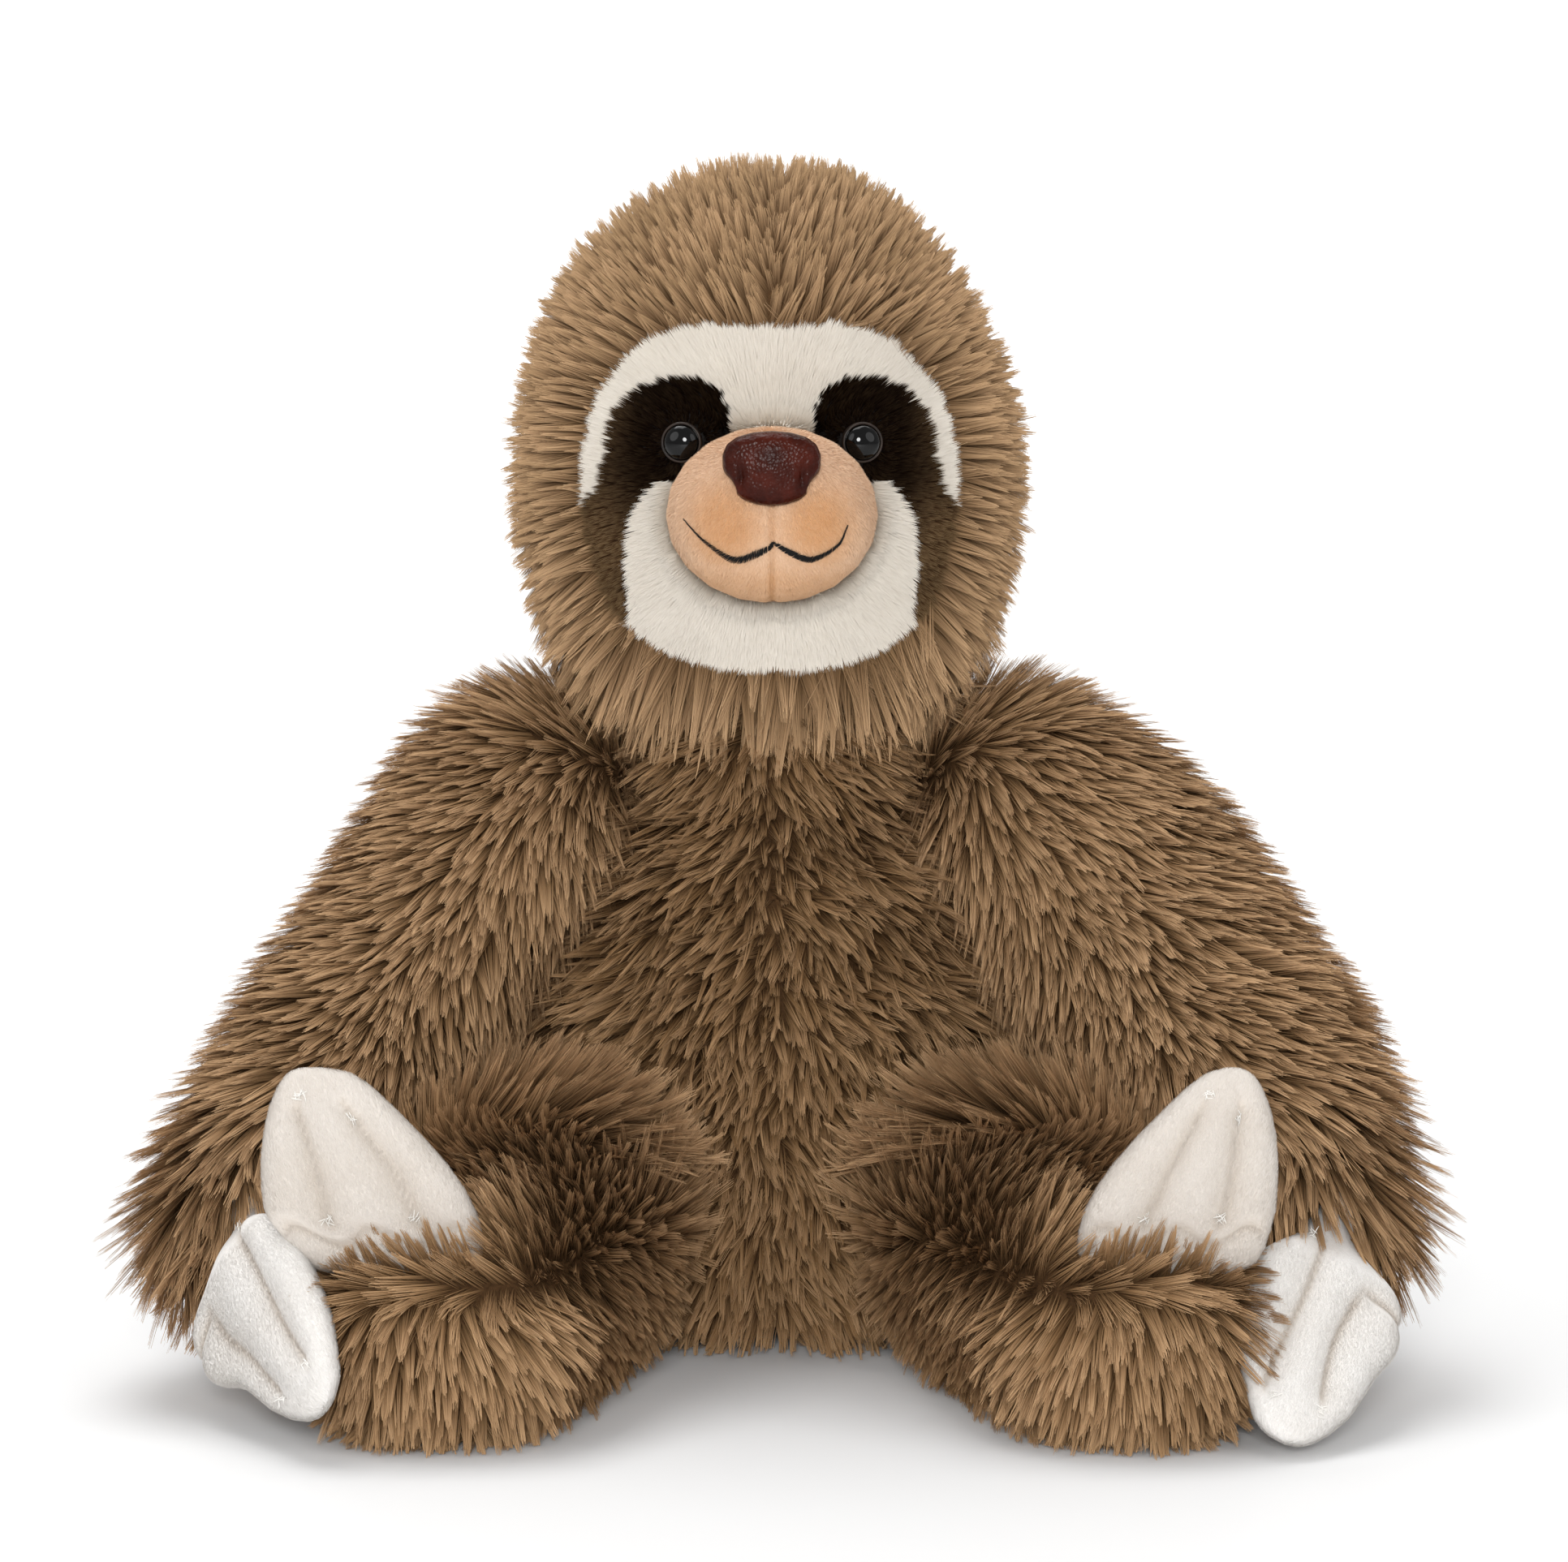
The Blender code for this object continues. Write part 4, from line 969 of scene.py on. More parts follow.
def plain_fields(places: Array, comb: Array, reach: float, swell: float) -> Fields:
    """Fields that are the same all over.

    Args:
        places: The skin's vertices.
        comb: The pile's lie, for all of them or for each.
        reach: Its length.
        swell: How far the skin moves outwards.

    Returns:
        The fields, on one panel.
    """
    count = len(places)
    return Fields(
        np.broadcast_to(comb, (count, 3)).astype(float),
        np.full(count, reach),
        np.ones(count),
        patches(places, 0.04),
        np.full(count, swell),
        np.zeros(count, int),
        np.ones(count),
    )


@dataclass
class Torso(Pelt):
    """The pear-shaped torso, its pile parted at the front seam."""

    pile_length: float = 0.0155
    parting_width: float = 0.0045

    def __post_init__(self) -> None:
        """Names its skin and its coat."""
        around = ("arm_", "leg_", "head_", "cheek_")
        self.skin = Skin("torso", "torso", ("torso",), "body_plush", around, voxel=0.0032)
        coat = replace(LONG_PILE, strands=235, tufts=15.0, root_angle=58, tip_angle=46, stray=0.5, seed=101)
        self.coats = {Zone.PLUSH: coat}
        self.unrest = 0.5

    def fields(self, places: Array, outward: Array) -> Fields:
        """Down and away from the seam, fuller at the shoulders."""
        x, z = places[:, 0], places[:, 2]
        front = ease(-outward[:, 1], -0.1, 0.4)
        shoulder = ease(np.abs(x), 0.025, 0.055) * ease(z, 0.13, 0.18)
        away = np.tanh(x / 0.012) * (0.2 + 0.2 * front + 1.1 * shoulder)
        comb = np.stack([away, 0 * x, np.full(len(x), -1.0)], 1)
        found = plain_fields(places, comb, self.pile_length, 0.0)
        found.reach = found.reach * (1 - 0.45 * bump(x, 0.0, self.parting_width) * front)
        found.swell = -0.0035 + 0.0055 * ease(np.abs(x), 0.03, 0.06) * ease(z, 0.06, 0.12)
        # Painted shade: the front of the torso, in shade between the arms, is painted darker, and the
        # shoulders are painted lighter against the shade beside the head.
        painted_belly_shade = 1 - 0.5 * ease(-outward[:, 1], 0.2, 0.8)
        found.tone = np.clip(found.tone * 0.6 * painted_belly_shade + 0.3 * shoulder, 0, 1)
        low = ease(np.abs(x), 0.045, 0.06) * (1 - ease(z, 0.1, 0.13)) * ease(z, 0.03, 0.06)
        found.reach = found.reach * (1 + 0.8 * low)
        found.panel = (x > 0).astype(int) + 2 * (places[:, 1] > 0).astype(int)
        return found


@dataclass
class Arm(Pelt):
    """One arm, from its shoulder ball to its hanging cuff."""

    side: str = "left"
    direction: tuple[float, float, float] = (0.5, -0.48, -0.72)
    wrist: tuple[float, float, float] = (0.166, -0.1, 0.06)
    pile_length: float = 0.0165
    cuff_length: float = 0.0195
    overhang: float = 0.037
    hand_direction: tuple[float, float, float] = (-0.292, -0.739, -0.607)
    outer_fullness: float = 0.0

    def __post_init__(self) -> None:
        """Names its skin and its coat."""
        name = f"arm_{self.side}"
        self.skin = Skin(name, name, (name,), "body_plush", ("torso",))
        self.coats = {Zone.PLUSH: replace(LONG_PILE, root_angle=46, tip_angle=34, seed=201)}
        self.unrest = 0.2

    def fields(self, places: Array, outward: Array) -> Fields:
        """Along the arm, turned outwards, longer and fuller at the cuff."""
        along = np.array(self.direction)
        side = SIDES[self.side]
        up_out = np.array([side * 0.82, 0.0, 0.57])
        comb = along + up_out * 0.65 * (outward @ up_out)[:, None] + np.array([side * 0.15, 0.0, -0.15])
        found = plain_fields(places, comb, self.pile_length, 0.0)
        way = (places - np.array(self.wrist)) @ along
        cuff = ease(way, -0.075, -0.01)
        outer = ease(outward[:, 0] * side, -0.3, 0.5)
        inner = ease(-outward[:, 0] * side, -0.2, 0.5)
        over = ease(way, -0.05, -0.02) * ease(-outward[:, 1], -0.2, 0.4) * (1 - outer * 0.35)
        found.reach = self.pile_length + (self.cuff_length - self.pile_length) * cuff
        found.reach = found.reach * (1 - 0.16 * outer * cuff)
        found.reach = found.reach + (self.overhang - found.reach) * over
        cap = ease(-(outward @ along), 0.0, 0.45)[:, None]
        found.comb = found.comb * (1 - cap) + np.array([side * 1.1, 0.0, -0.3]) * cap
        over_hand = (over * 0.95)[:, None]
        found.comb = found.comb * (1 - over_hand) + np.array(self.hand_direction) * over_hand
        found.lift = 1 - 0.2 * cuff + 0.1 * over - 0.2 * cap[:, 0]
        found.growth = found.growth * (1 + 0.4 * over)
        # Painted light: the arms' plush, the same as the torso's, is painted lighter for the light that falls
        # on them from the front and the sides.
        found.tone = np.clip(found.tone * 0.6 + 0.63, 0, 1)
        found.swell = 0.0025 * (1 - cuff) + 0.006 * inner * ease(way, -0.16, -0.1)
        bulge = ease(outward @ up_out, -0.3, 0.8) * ease(way, -0.19, -0.13) * (1 - ease(way, -0.06, 0.0))
        found.swell = found.swell + self.outer_fullness * bulge
        found.panel = (outward[:, 1] > 0).astype(int)
        return found


@dataclass
class Leg(Pelt):
    """One leg with its round foot, the sole turned forwards."""

    side: str = "left"
    claws_place: tuple[float, float, float] = (0.111, -0.1412, 0.0525)
    pile_length: float = 0.016
    thigh_length: float = 0.024

    def __post_init__(self) -> None:
        """Names its skin and its coat."""
        name = f"leg_{self.side}"
        self.skin = Skin(name, name, (name,), "body_plush", ("torso",))
        self.coats = {Zone.PLUSH: LONG_PILE}
        self.unrest = 0.2

    def fields(self, places: Array, outward: Array) -> Fields:
        """Fanned from the claws on the sole, forwards on the foot, up and in on the thigh."""
        side = SIDES[self.side]
        fan = places - (np.array(self.claws_place) - np.array([0.0, 0.0, 0.005]))
        ridge = ease(fan[:, 2], -0.008, 0.002)[:, None]
        across = np.full(len(fan), side)
        wide = np.stack([across, 0 * across, 0.3 + 0 * across], 1)
        down = np.stack([np.clip(fan[:, 0] / 0.045, -1, 1) * 0.45, 0 * across, 0 * across - 1.0], 1)
        fan = down * (1 - ridge) + wide * ridge
        forward = np.array([side * 0.3, -0.8, -0.1])
        thigh = np.array([-side * 0.75, -0.25, 0.6])
        sole = ease(-outward[:, 1], 0.2, 0.7)[:, None]
        back = (ease(places[:, 1], -0.105, -0.075) * ease(outward[:, 2], -0.2, 0.5))[:, None]
        comb = fan * sole + (forward * (1 - back) + thigh * back) * (1 - sole)
        off = places - np.array(self.claws_place)
        beside = 0.7 * bump(-off[:, 0] * side, 0.037, 0.009) * ease(off[:, 2], -0.006, 0.004)
        beside = beside * (1 - ease(places[:, 1], -0.125, -0.11))
        comb = comb * (1 - beside[:, None]) + np.array([-side * 0.25, -0.25, 1.0]) * beside[:, None]
        found = plain_fields(places, comb, self.pile_length, 0.0)
        found.swell = -0.0005 + 0.004 * back[:, 0]
        found.reach = self.pile_length + (self.thigh_length - self.pile_length) * back[:, 0]
        found.reach = found.reach * (1 + 0.2 * beside)
        # Painted light: the thigh tops that face upwards (back) are painted lighter.
        found.tone = np.clip(found.tone * 0.55 + 0.3 + 0.4 * back[:, 0] + 0.3 * beside, 0, 1)
        found.panel = (outward[:, 1] > -0.3).astype(int)
        return found


@dataclass
class Head(Pelt):
    """The head: its hood of long pile and the short-piled face."""

    hood_length: float = 0.0138
    fringe_length: float = 0.0255
    white_length: float = 0.0042
    dark_length: float = 0.0042
    fan_height: float = 0.278
    eye_places: tuple = ((0.0258, -0.060, 0.275), (-0.0258, -0.060, 0.275))

    def __post_init__(self) -> None:
        """Names its skin and its coats."""
        starts = ("head_", "face_", "eye_patch", "cheek", "eye_left", "eye_right")
        around = ("torso", "arm_")
        self.skin = Skin("head", "head", starts, "head_plush", around, 0.0021, 10, meets=("muzzle",))
        plush = {"strands": 250, "tufts": 15.0, "width": 0.00031, "root_angle": 52, "tip_angle": 42}
        self.coats = {
            Zone.PLUSH: replace(LONG_PILE, pile=Pile.HEAD, **plush, seed=401),
            Zone.WHITE: Coat(Pile.WHITE, 760, 30, 0.00034, 34, 18, 0.0, 0.1, 1, 501, roll=0.4),
            Zone.DARK: Coat(Pile.DARK, 700, 26, 0.00036, 46, 32, 0.25, 0.3, 1, 601, tone_share=0.86),
        }

    def zones(self, solids: dict, centres: Array) -> Array:
        """The fabric of each face, by the nearest packed panel."""
        kinds = {
            Zone.PLUSH: ("head_hood",),
            Zone.WHITE: ("face_brow", "cheek"),
            Zone.DARK: ("eye_patch",),
            Zone.BARE: ("eye_left", "eye_right"),
        }
        gaps = []
        for starts in kinds.values():
            gaps.append(distances(tree_of(solids, [n for n in solids if n.startswith(starts)]), centres))
        return np.array([zone.value for zone in kinds])[np.stack(gaps).argmin(0)]

    def fields(self, places: Array, outward: Array) -> Fields:
        """Fanned from the middle of the face, and down at the back."""
        x, y, z = places.T
        ray = unit(np.stack([x, 0 * x, z - self.fan_height], 1))
        chin = ease(-ray[:, 2], 0.3, 0.9) * (y < 0.01)
        ray[:, 1] = 0.45 - 0.55 * chin
        back = ease(y, 0.0, 0.05)[:, None]
        comb = ray * (1 - back) + np.array([0.0, 0.2, -1.0]) * back
        found = plain_fields(places, comb, self.hood_length, -0.0038)
        low, high = ease(-z, -0.235, -0.205), ease(z, 0.3, 0.312)
        found.reach = self.hood_length + (self.fringe_length - self.hood_length) * chin * low
        crown = bump(x, 0.0, 0.004) * high * ease(-y, 0.005, 0.02)
        found.reach = found.reach * (1 - 0.5 * crown)
        found.comb[:, 0] += np.tanh(x / 0.003) * 0.6 * bump(x, 0.0, 0.009) * high * ease(-y, 0.0, 0.02)
        found.lift = 1 - 0.5 * chin * low - 0.25 * ease(np.abs(x), 0.05, 0.07) * (y < 0)
        fuller = 0.0025 * ease(-x, 0.03, 0.06)
        found.swell = found.swell + fuller - 0.0025 * ease(x, 0.02, 0.05) * ease(z, 0.28, 0.31)
        sides = 0.25 * ease(np.abs(x), 0.03, 0.055) * (y < 0.01)
        # The chin fringe is lighter, partly its own colour and partly painted light where shade falls under
        # the chin.
        found.tone = np.clip(found.tone + 0.8 * chin * ease(-z, -0.24, -0.21) + sides, 0, 1)
        found.panel = (x > 0).astype(int) + 2 * (y > 0).astype(int)
        return found

    def tails(self, places: Array) -> Array:
        """How brown the eye patches are, black by the eyes and brown down their tails."""
        low = ease(-places[:, 2], -0.268, -0.236)
        side = ease(np.abs(places[:, 0]), 0.036, 0.052)
        return 0.75 * low + 0.45 * side

    def adapt(self, fields: Fields, places: Array, outward: Array, zone_of: Array) -> None:
        """Shortens the face's pile, parts it at the chin seam and clears it from the eyes."""
        x = places[:, 0]
        white = zone_of == Zone.WHITE.value
        dark = (zone_of == Zone.DARK.value) | (zone_of == Zone.BARE.value)
        fields.reach = np.where(white, self.white_length, np.where(dark, self.dark_length, fields.reach))
        seam = bump(x, 0.0, 0.0018) * (places[:, 2] < 0.235) * white
        fields.reach = fields.reach * (1 - 0.45 * seam)
        centre = np.array([0.0, 0.0, 0.262])
        ray = unit((places - centre) * np.array([1.0, 0.0, 1.0]))
        fields.comb = np.where((white | dark)[:, None], ray, fields.comb)
        fields.panel = np.where(white | dark, 0, fields.panel)
        brown = np.clip(self.tails(places) * (0.5 + 0.7 * fields.tone), 0, 1)
        fields.tone = np.where(dark, brown, fields.tone)
        for eye in self.eye_places:
            off = places - np.array(eye)
            gap = np.linalg.norm(off[:, [0, 2]], axis=1)
            near = (1 - ease(gap, 0.0075, 0.014)) * (places[:, 1] < -0.03)
            away = unit(off * np.array([1.0, 0.0, 1.0]))
            fields.comb = fields.comb * (1 - near[:, None]) + away * near[:, None]
            fields.reach = fields.reach * (1 - 0.5 * near)
            fields.growth = fields.growth * ((gap > 0.0058) | (places[:, 1] > -0.03))


@dataclass
class Muzzle(Pelt):
    """The velour muzzle, with its airbrushed blush and its middle seam."""

    nap_length: float = 0.0013
    seam_depth: float = 0.0013
    blush_places: tuple = ((0.0135, 0.2525), (-0.0135, 0.2525))
    blush_size: float = 0.0105

    def __post_init__(self) -> None:
        """Names its skin and its coat."""
        self.skin = Skin("muzzle", "head", ("muzzle",), "muzzle_velour", (), 0.001, 10)
        growth = {"strands": 890, "width": 0.00023, "root_angle": 46, "tip_angle": 26, "stray": 0.6}
        coat = replace(SHORT_NAP, pile=Pile.VELOUR, **growth, seed=701, roll=0.8, tone_share=0.7)
        self.coats = {Zone.PLUSH: coat}

    def fields(self, places: Array, outward: Array) -> Fields:
        """Napped downwards and outwards, with the seam pressed in."""
        x, y, z = places.T
        comb = np.stack([np.tanh(x / 0.01) * 0.5, 0 * x, np.full(len(x), -1.0)], 1)
        found = plain_fields(places, comb, self.nap_length, 0.0)
        front = ease(-y, 0.055, 0.07)
        below = 1 - ease(z, 0.2595, 0.262)
        found.swell = -self.seam_depth * bump(x, 0.0, 0.0012) * front * below
        found.growth = found.growth * (y < -0.0505)
        blush = np.zeros(len(x))
        for px, pz in self.blush_places:
            gap = np.hypot(x - px, (z - pz) * 0.85)
            blush = np.maximum(blush, np.exp(-((gap / self.blush_size) ** 3)))
        # Darker and more orange towards the bottom: partly the airbrushed colour, partly painted shade on the
        # muzzle's lower rim.
        tip = 0.65 * ease(-z, -0.247, -0.234)
        # Painted shade: a darker line along the pressed-in seam groove.
        seam = 0.4 * bump(x, 0.0, 0.0009) * front * below
        found.tone = np.clip(1.0 - 0.95 * np.maximum(blush, tip) - 0.1 * patches(places, 0.02) - seam, 0, 1)
        return found


@dataclass
class Mitten(Pelt):
    """A velboa mitten of three fused fingers, its furrows sewn through."""

    knots: tuple = field(default=(), init=False)
    # Painted light and shade: one velboa is given a different lightness on the hands and on the claws.
    painted_lightness: float = field(default=1.0, init=False)
    nap_length: float = field(default=0.0013, init=False)
    furrow_depth: float = field(default=0.003, init=False)

    def shares(self, places: Array) -> tuple[Array, Array]:
        """How far along and across the mitten each place is."""
        raise NotImplementedError

    def furrows(self, way: Array, across: Array) -> tuple[Array, Array]:
        """How deep each place lies in a soft valley, and in the sewn line along its bottom, from 0 to 1."""
        raise NotImplementedError

    def lie(self) -> Array:
        """Which way the nap lies."""
        raise NotImplementedError

    def fill_out(self, places: Array, way: Array, across: Array) -> None:
        """Moves the places apart where the stuffed mitten is broader than its packed form."""

    def fields(self, places: Array, outward: Array) -> Fields:
        """Napped towards the tips, pressed in along the furrows."""
        way, across = self.shares(places)
        valley, line = self.furrows(way, across)
        found = plain_fields(places, self.lie(), self.nap_length, 0.0)
        found.swell = -self.furrow_depth * (0.6 * valley + 0.4 * line)
        self.fill_out(places, way, across)
        # Painted shade: the furrows' valleys and sewn lines are coloured darker and warmer, and the painted
        # lightness sets the mitten's overall tone.
        found.tone = np.clip(self.painted_lightness - 0.2 * valley - 0.75 * line - 0.12 * (1 - found.tone), 0, 1)
        return found

    def look(self, way: float, across: float) -> tuple[Vector, Vector]:
        """Where a line of sight on a place of the mitten starts, and which way it goes."""
        raise NotImplementedError

    def tie(self, skin: bpy.types.Object, tree: "StitchTree", thread: bpy.types.Material) -> None:
        """Ties the ends of the furrows' threads on the skin.

        Args:
            skin: The mitten's skin.
            tree: The threads' node tree.
            thread: The thread's material.
        """
        surface = BVHTree.FromObject(skin, bpy.context.evaluated_depsgraph_get())
        rng = np.random.default_rng(len(self.skin.name))
        rows = []
        for knot in self.knots:
            start, sight = self.look(*knot)
            place, normal, _, _ = surface.ray_cast(start, sight)
            if place is None:
                continue
            for _ in range(9):
                way = Vector(rng.normal(0, 1, 3))
                way = (way - normal * way.dot(normal) * 0.7).normalized()
                spot = place + normal * (0.0009 + 0.0004 * rng.random()) + Vector(rng.normal(0, 0.0007, 3))
                rows.append((spot, way, normal, (0.0011 + 0.0009 * rng.random(), 0.00014, 0.00014)))
        piece = tree.lay(f"{self.skin.name}_knots", rows, thread)
        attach(piece, self.skin.body)
        LOG.info("%s: %d threads in its knots", self.skin.name, len(rows))


@dataclass
class Hand(Mitten):
    """A hand that hangs out of its cuff."""

    side: str = "left"
    wrist: tuple[float, float, float] = (0.166, -0.1, 0.06)
    direction: tuple[float, float, float] = (-0.292, -0.739, -0.607)
    breadth: tuple[float, float, float] = (0.95, 0.2, -0.3)
    length: float = 0.089
    half_width: float = 0.0198
    thumb_side: float = 1.0
    palm_fullness: float = 0.005
    sink: float = 0.009
    knot_shares: tuple = ((0.24, -0.34), (0.9, -0.3), (0.88, 0.28))

    def __post_init__(self) -> None:
        """Names its skin and its coat."""
        name = f"hand_{self.side}"
        self.skin = Skin(name, name, (name,), "white_velboa", (f"arm_{self.side}",), 0.0011, 8)
        self.coats = {Zone.PLUSH: SHORT_NAP}
        self.knots = tuple((way, across * self.thumb_side) for way, across in self.knot_shares)

    def axes(self) -> tuple[Array, Array, Array]:
        """Unit vectors along the hand, across it, and square to both."""
        along = unit(np.array(self.direction))
        breadth = np.array(self.breadth)
        breadth = unit(breadth - along * (breadth @ along))
        return along, breadth, np.cross(along, breadth)

    def shares(self, places: Array) -> tuple[Array, Array]:
        """Along the hand from the wrist, and across its breadth."""
        along, breadth, _ = self.axes()
        off = places - np.array(self.wrist)
        return off @ along / self.length, off @ breadth / self.half_width

    def furrows(self, way: Array, across: Array) -> tuple[Array, Array]:
        """Two furrows between the fingers, and a short one across the outer finger."""
        inside = ease(way, 0.16, 0.3) * (1 - ease(way, 0.84, 0.93))
        later = ease(way, 0.34, 0.46) * (1 - ease(way, 0.8, 0.9))
        thumb = ease(across * self.thumb_side, 0.25, 0.5)
        made = []
        for wide, long in ((0.2, 0.045), (0.045, 0.014)):
            first = bump(across, -0.34 * self.thumb_side + 0.1 * np.sin(way * 5), wide) * inside
            second = bump(across, 0.34 * self.thumb_side + 0.09 * np.sin(way * 6 + 1), wide) * later
            slant = bump(way, 0.36 + 0.05 * across * self.thumb_side, long) * thumb
            made.append(np.clip(first + second + 0.8 * slant, 0, 1))
        return made[0], made[1]

    def lie(self) -> Array:
        """Towards the finger tips."""
        return np.array(self.direction)

    def fill_out(self, places: Array, way: Array, across: Array) -> None:
        """Broadens the palm, and sinks the wrist into the cuff."""
        _, breadth, square = self.axes()
        share = 0.2 * ease(way, 0.2, 0.4) * (1 - 0.5 * ease(way, 0.8, 1.0))
        palm = ease(way, 0.15, 0.32) * (1 - ease(way, 0.42, 0.68))
        outer = ease(across * self.thumb_side, -0.2, 1.0) * palm
        narrow = 1 - ease(way, 0.1, 0.36)
        move = across * (share - 0.3 * narrow) * self.half_width
        move = move + self.thumb_side * self.palm_fullness * outer
        deeper = np.sign(square[1]) * self.sink * narrow
        places += breadth * move[:, None] + square * deeper[:, None]

    def look(self, way: float, across: float) -> tuple[Vector, Vector]:
        """From the front of the hand, square to it."""
        along, breadth, square = self.axes()
        square = square * -np.sign(square[1])
        spot = np.array(self.wrist) + along * way * self.length + breadth * across * self.half_width * 1.2
        return Vector(spot + square * 0.06), Vector(-square)


@dataclass
class FootClaws(Mitten):
    """The three fused claws that stand up from a foot."""

    side: str = "left"
    root: tuple[float, float, float] = (0.111, -0.1412, 0.0525)
    height: float = 0.053
    half_width: float = 0.0295
    lean: float = 0.017
    outer_fullness: float = 0.0
    way_shares: tuple = (-0.125, 0.0, 0.2, 0.46, 0.77, 1.0)
    lean_shares: tuple = (0, 0, 0.1, 0.38, 0.8, 1.0)
    width_shares: tuple = (0.84, 0.97, 0.98, 0.86, 0.53, 0.19)

    def __post_init__(self) -> None:
        """Names its skin and its coat."""
        name = f"foot_claws_{self.side}"
        self.skin = Skin(name, name, (name,), "white_velboa", (f"leg_{self.side}",), 0.0011, 8)
        self.coats = {Zone.PLUSH: replace(SHORT_NAP, seed=901)}
        self.knots = ((0.84, -0.3), (0.2, -0.33), (0.2, 0.38), (0.72, 0.3))
        # Painted shade: the claws' velboa, the same as the hands', is painted darker against the stronger
        # light that falls on them.
        self.painted_lightness = 0.35

    def section(self, way: Array) -> tuple[Array, Array]:
        """The middle of the claws in x, and half their width, at shares of their height."""
        middles = np.interp(way, self.way_shares, self.lean_shares)
        centre = self.root[0] + SIDES[self.side] * self.lean * middles
        return centre, self.half_width * np.interp(way, self.way_shares, self.width_shares)

    def shares(self, places: Array) -> tuple[Array, Array]:
        """Up the claws from their base, and across their breadth there."""
        way = (places[:, 2] - self.root[2]) / self.height
        centre, width = self.section(way)
        return way, (places[:, 0] - centre) / width

    def furrows(self, way: Array, across: Array) -> tuple[Array, Array]:
        """Two furrows between the claws, and the seam where they meet the foot."""
        inside = ease(way, 0.12, 0.2) * (1 - ease(way, 0.72, 0.88))
        made = []
        for wide, long in ((0.17, 0.05), (0.04, 0.014)):
            first = bump(across, 0.36 + 0.05 * np.sin(way * 5), wide)
            sides = first + bump(across, -0.36 + 0.06 * np.sin(way * 4), wide)
            base = bump(way, 0.11 + 0.05 * np.cos(across * 9), long) * (1 - ease(np.abs(across), 0.7, 0.95))
            made.append(np.clip(sides * inside + 0.7 * base, 0, 1))
        return made[0], made[1]

    def lie(self) -> Array:
        """Up towards the tips."""
        return np.array([SIDES[self.side] * 0.3, 0.0, 1.0])

    def fill_out(self, places: Array, way: Array, across: Array) -> None:
        """Broadens the outer claw."""
        side = SIDES[self.side]
        share = ease(across * side, -1.0, 0.5) * ease(way, -0.05, 0.25)
        places[:, 0] += side * self.outer_fullness * share

    def look(self, way: float, across: float) -> tuple[Vector, Vector]:
        """From the front."""
        side = SIDES[self.side]
        centre, width = self.section(np.array(way))
        full = side * self.outer_fullness * float(ease(np.array(across * side), -1.0, 0.5))
        start = Vector((float(centre + across * width + full), -0.25, self.root[2] + way * self.height))
        return start, Vector((0, 1, 0))


class StitchTree:
    """The node tree that lays one short thread at each point of a path."""

    def __init__(self) -> None:
        """Builds the tree."""
        self.tree = bpy.data.node_groups.new("laid_threads", "GeometryNodeTree")
        face = self.tree.interface
        face.new_socket("Geometry", in_out="OUTPUT", socket_type="NodeSocketGeometry")
        face.new_socket("Points", in_out="INPUT", socket_type="NodeSocketGeometry")
        face.new_socket("Thread", in_out="INPUT", socket_type="NodeSocketMaterial")
        n = Nodes(self.tree)
        given = self.tree.nodes.new("NodeGroupInput").outputs
        thread = n.add("GeometryNodeMeshUVSphere", {"Segments": 7, "Rings": 6, "Radius": 1.0}).outputs["Mesh"]
        smooth = n.add("GeometryNodeSetShadeSmooth", {"Geometry": thread}).outputs[0]
        turned = None
        for axis, name, pivot in (("X", "across", "AUTO"), ("Z", "outward", "X")):
            field_node = n.add("GeometryNodeInputNamedAttribute", data_type="FLOAT_VECTOR")
            field_node.inputs["Name"].default_value = name
            node = n.add("FunctionNodeAlignRotationToVector", axis=axis, pivot_axis=pivot)
            n.feed(node.inputs["Vector"], n.port(field_node.outputs, "Attribute"))
            if turned is not None:
                n.feed(node.inputs["Rotation"], turned)
            turned = node.outputs["Rotation"]
        size = n.add("GeometryNodeInputNamedAttribute", data_type="FLOAT_VECTOR")
        size.inputs["Name"].default_value = "size"
        laid = n.add(
            "GeometryNodeInstanceOnPoints",
            {"Points": given["Points"], "Instance": smooth, "Rotation": turned},
        )
        n.feed(laid.inputs["Scale"], n.port(size.outputs, "Attribute"))
        mesh = n.add("GeometryNodeRealizeInstances", {"Geometry": laid.outputs[0]}).outputs[0]
        mesh = n.add("GeometryNodeSetMaterial", {"Geometry": mesh, "Material": given["Thread"]}).outputs[0]
        n.feed(self.tree.nodes.new("NodeGroupOutput").inputs[0], mesh)

    def lay(self, name: str, rows: list, thread: bpy.types.Material) -> bpy.types.Object:
        """Lays the threads as a plain mesh.

        Args:
            name: The piece's name.
            rows: For each thread its place, the way it lies, outwards, and its three half sizes.
            thread: Its material.

        Returns:
            The piece.
        """
        mesh = bpy.data.meshes.new(name + "_path")
        mesh.from_pydata([row[0] for row in rows], [], [])
        for column, title in ((1, "across"), (2, "outward"), (3, "size")):
            made = mesh.attributes.new(title, "FLOAT_VECTOR", "POINT")
            made.data.foreach_set("vector", np.array([row[column] for row in rows], np.float32).ravel())
        bed = linked(name + "_path", mesh)
        modifier = bed.modifiers.new("threads", "NODES")
        modifier.node_group = self.tree
        for socket in self.tree.interface.items_tree:
            if socket.item_type == "SOCKET" and socket.name == "Thread":
                modifier[socket.identifier] = thread
        made = settled(bed)
        modifier.node_group = None
        bpy.data.objects.remove(bed)
        strip(made, ("across", "outward", "size"))
        return linked(name, made)


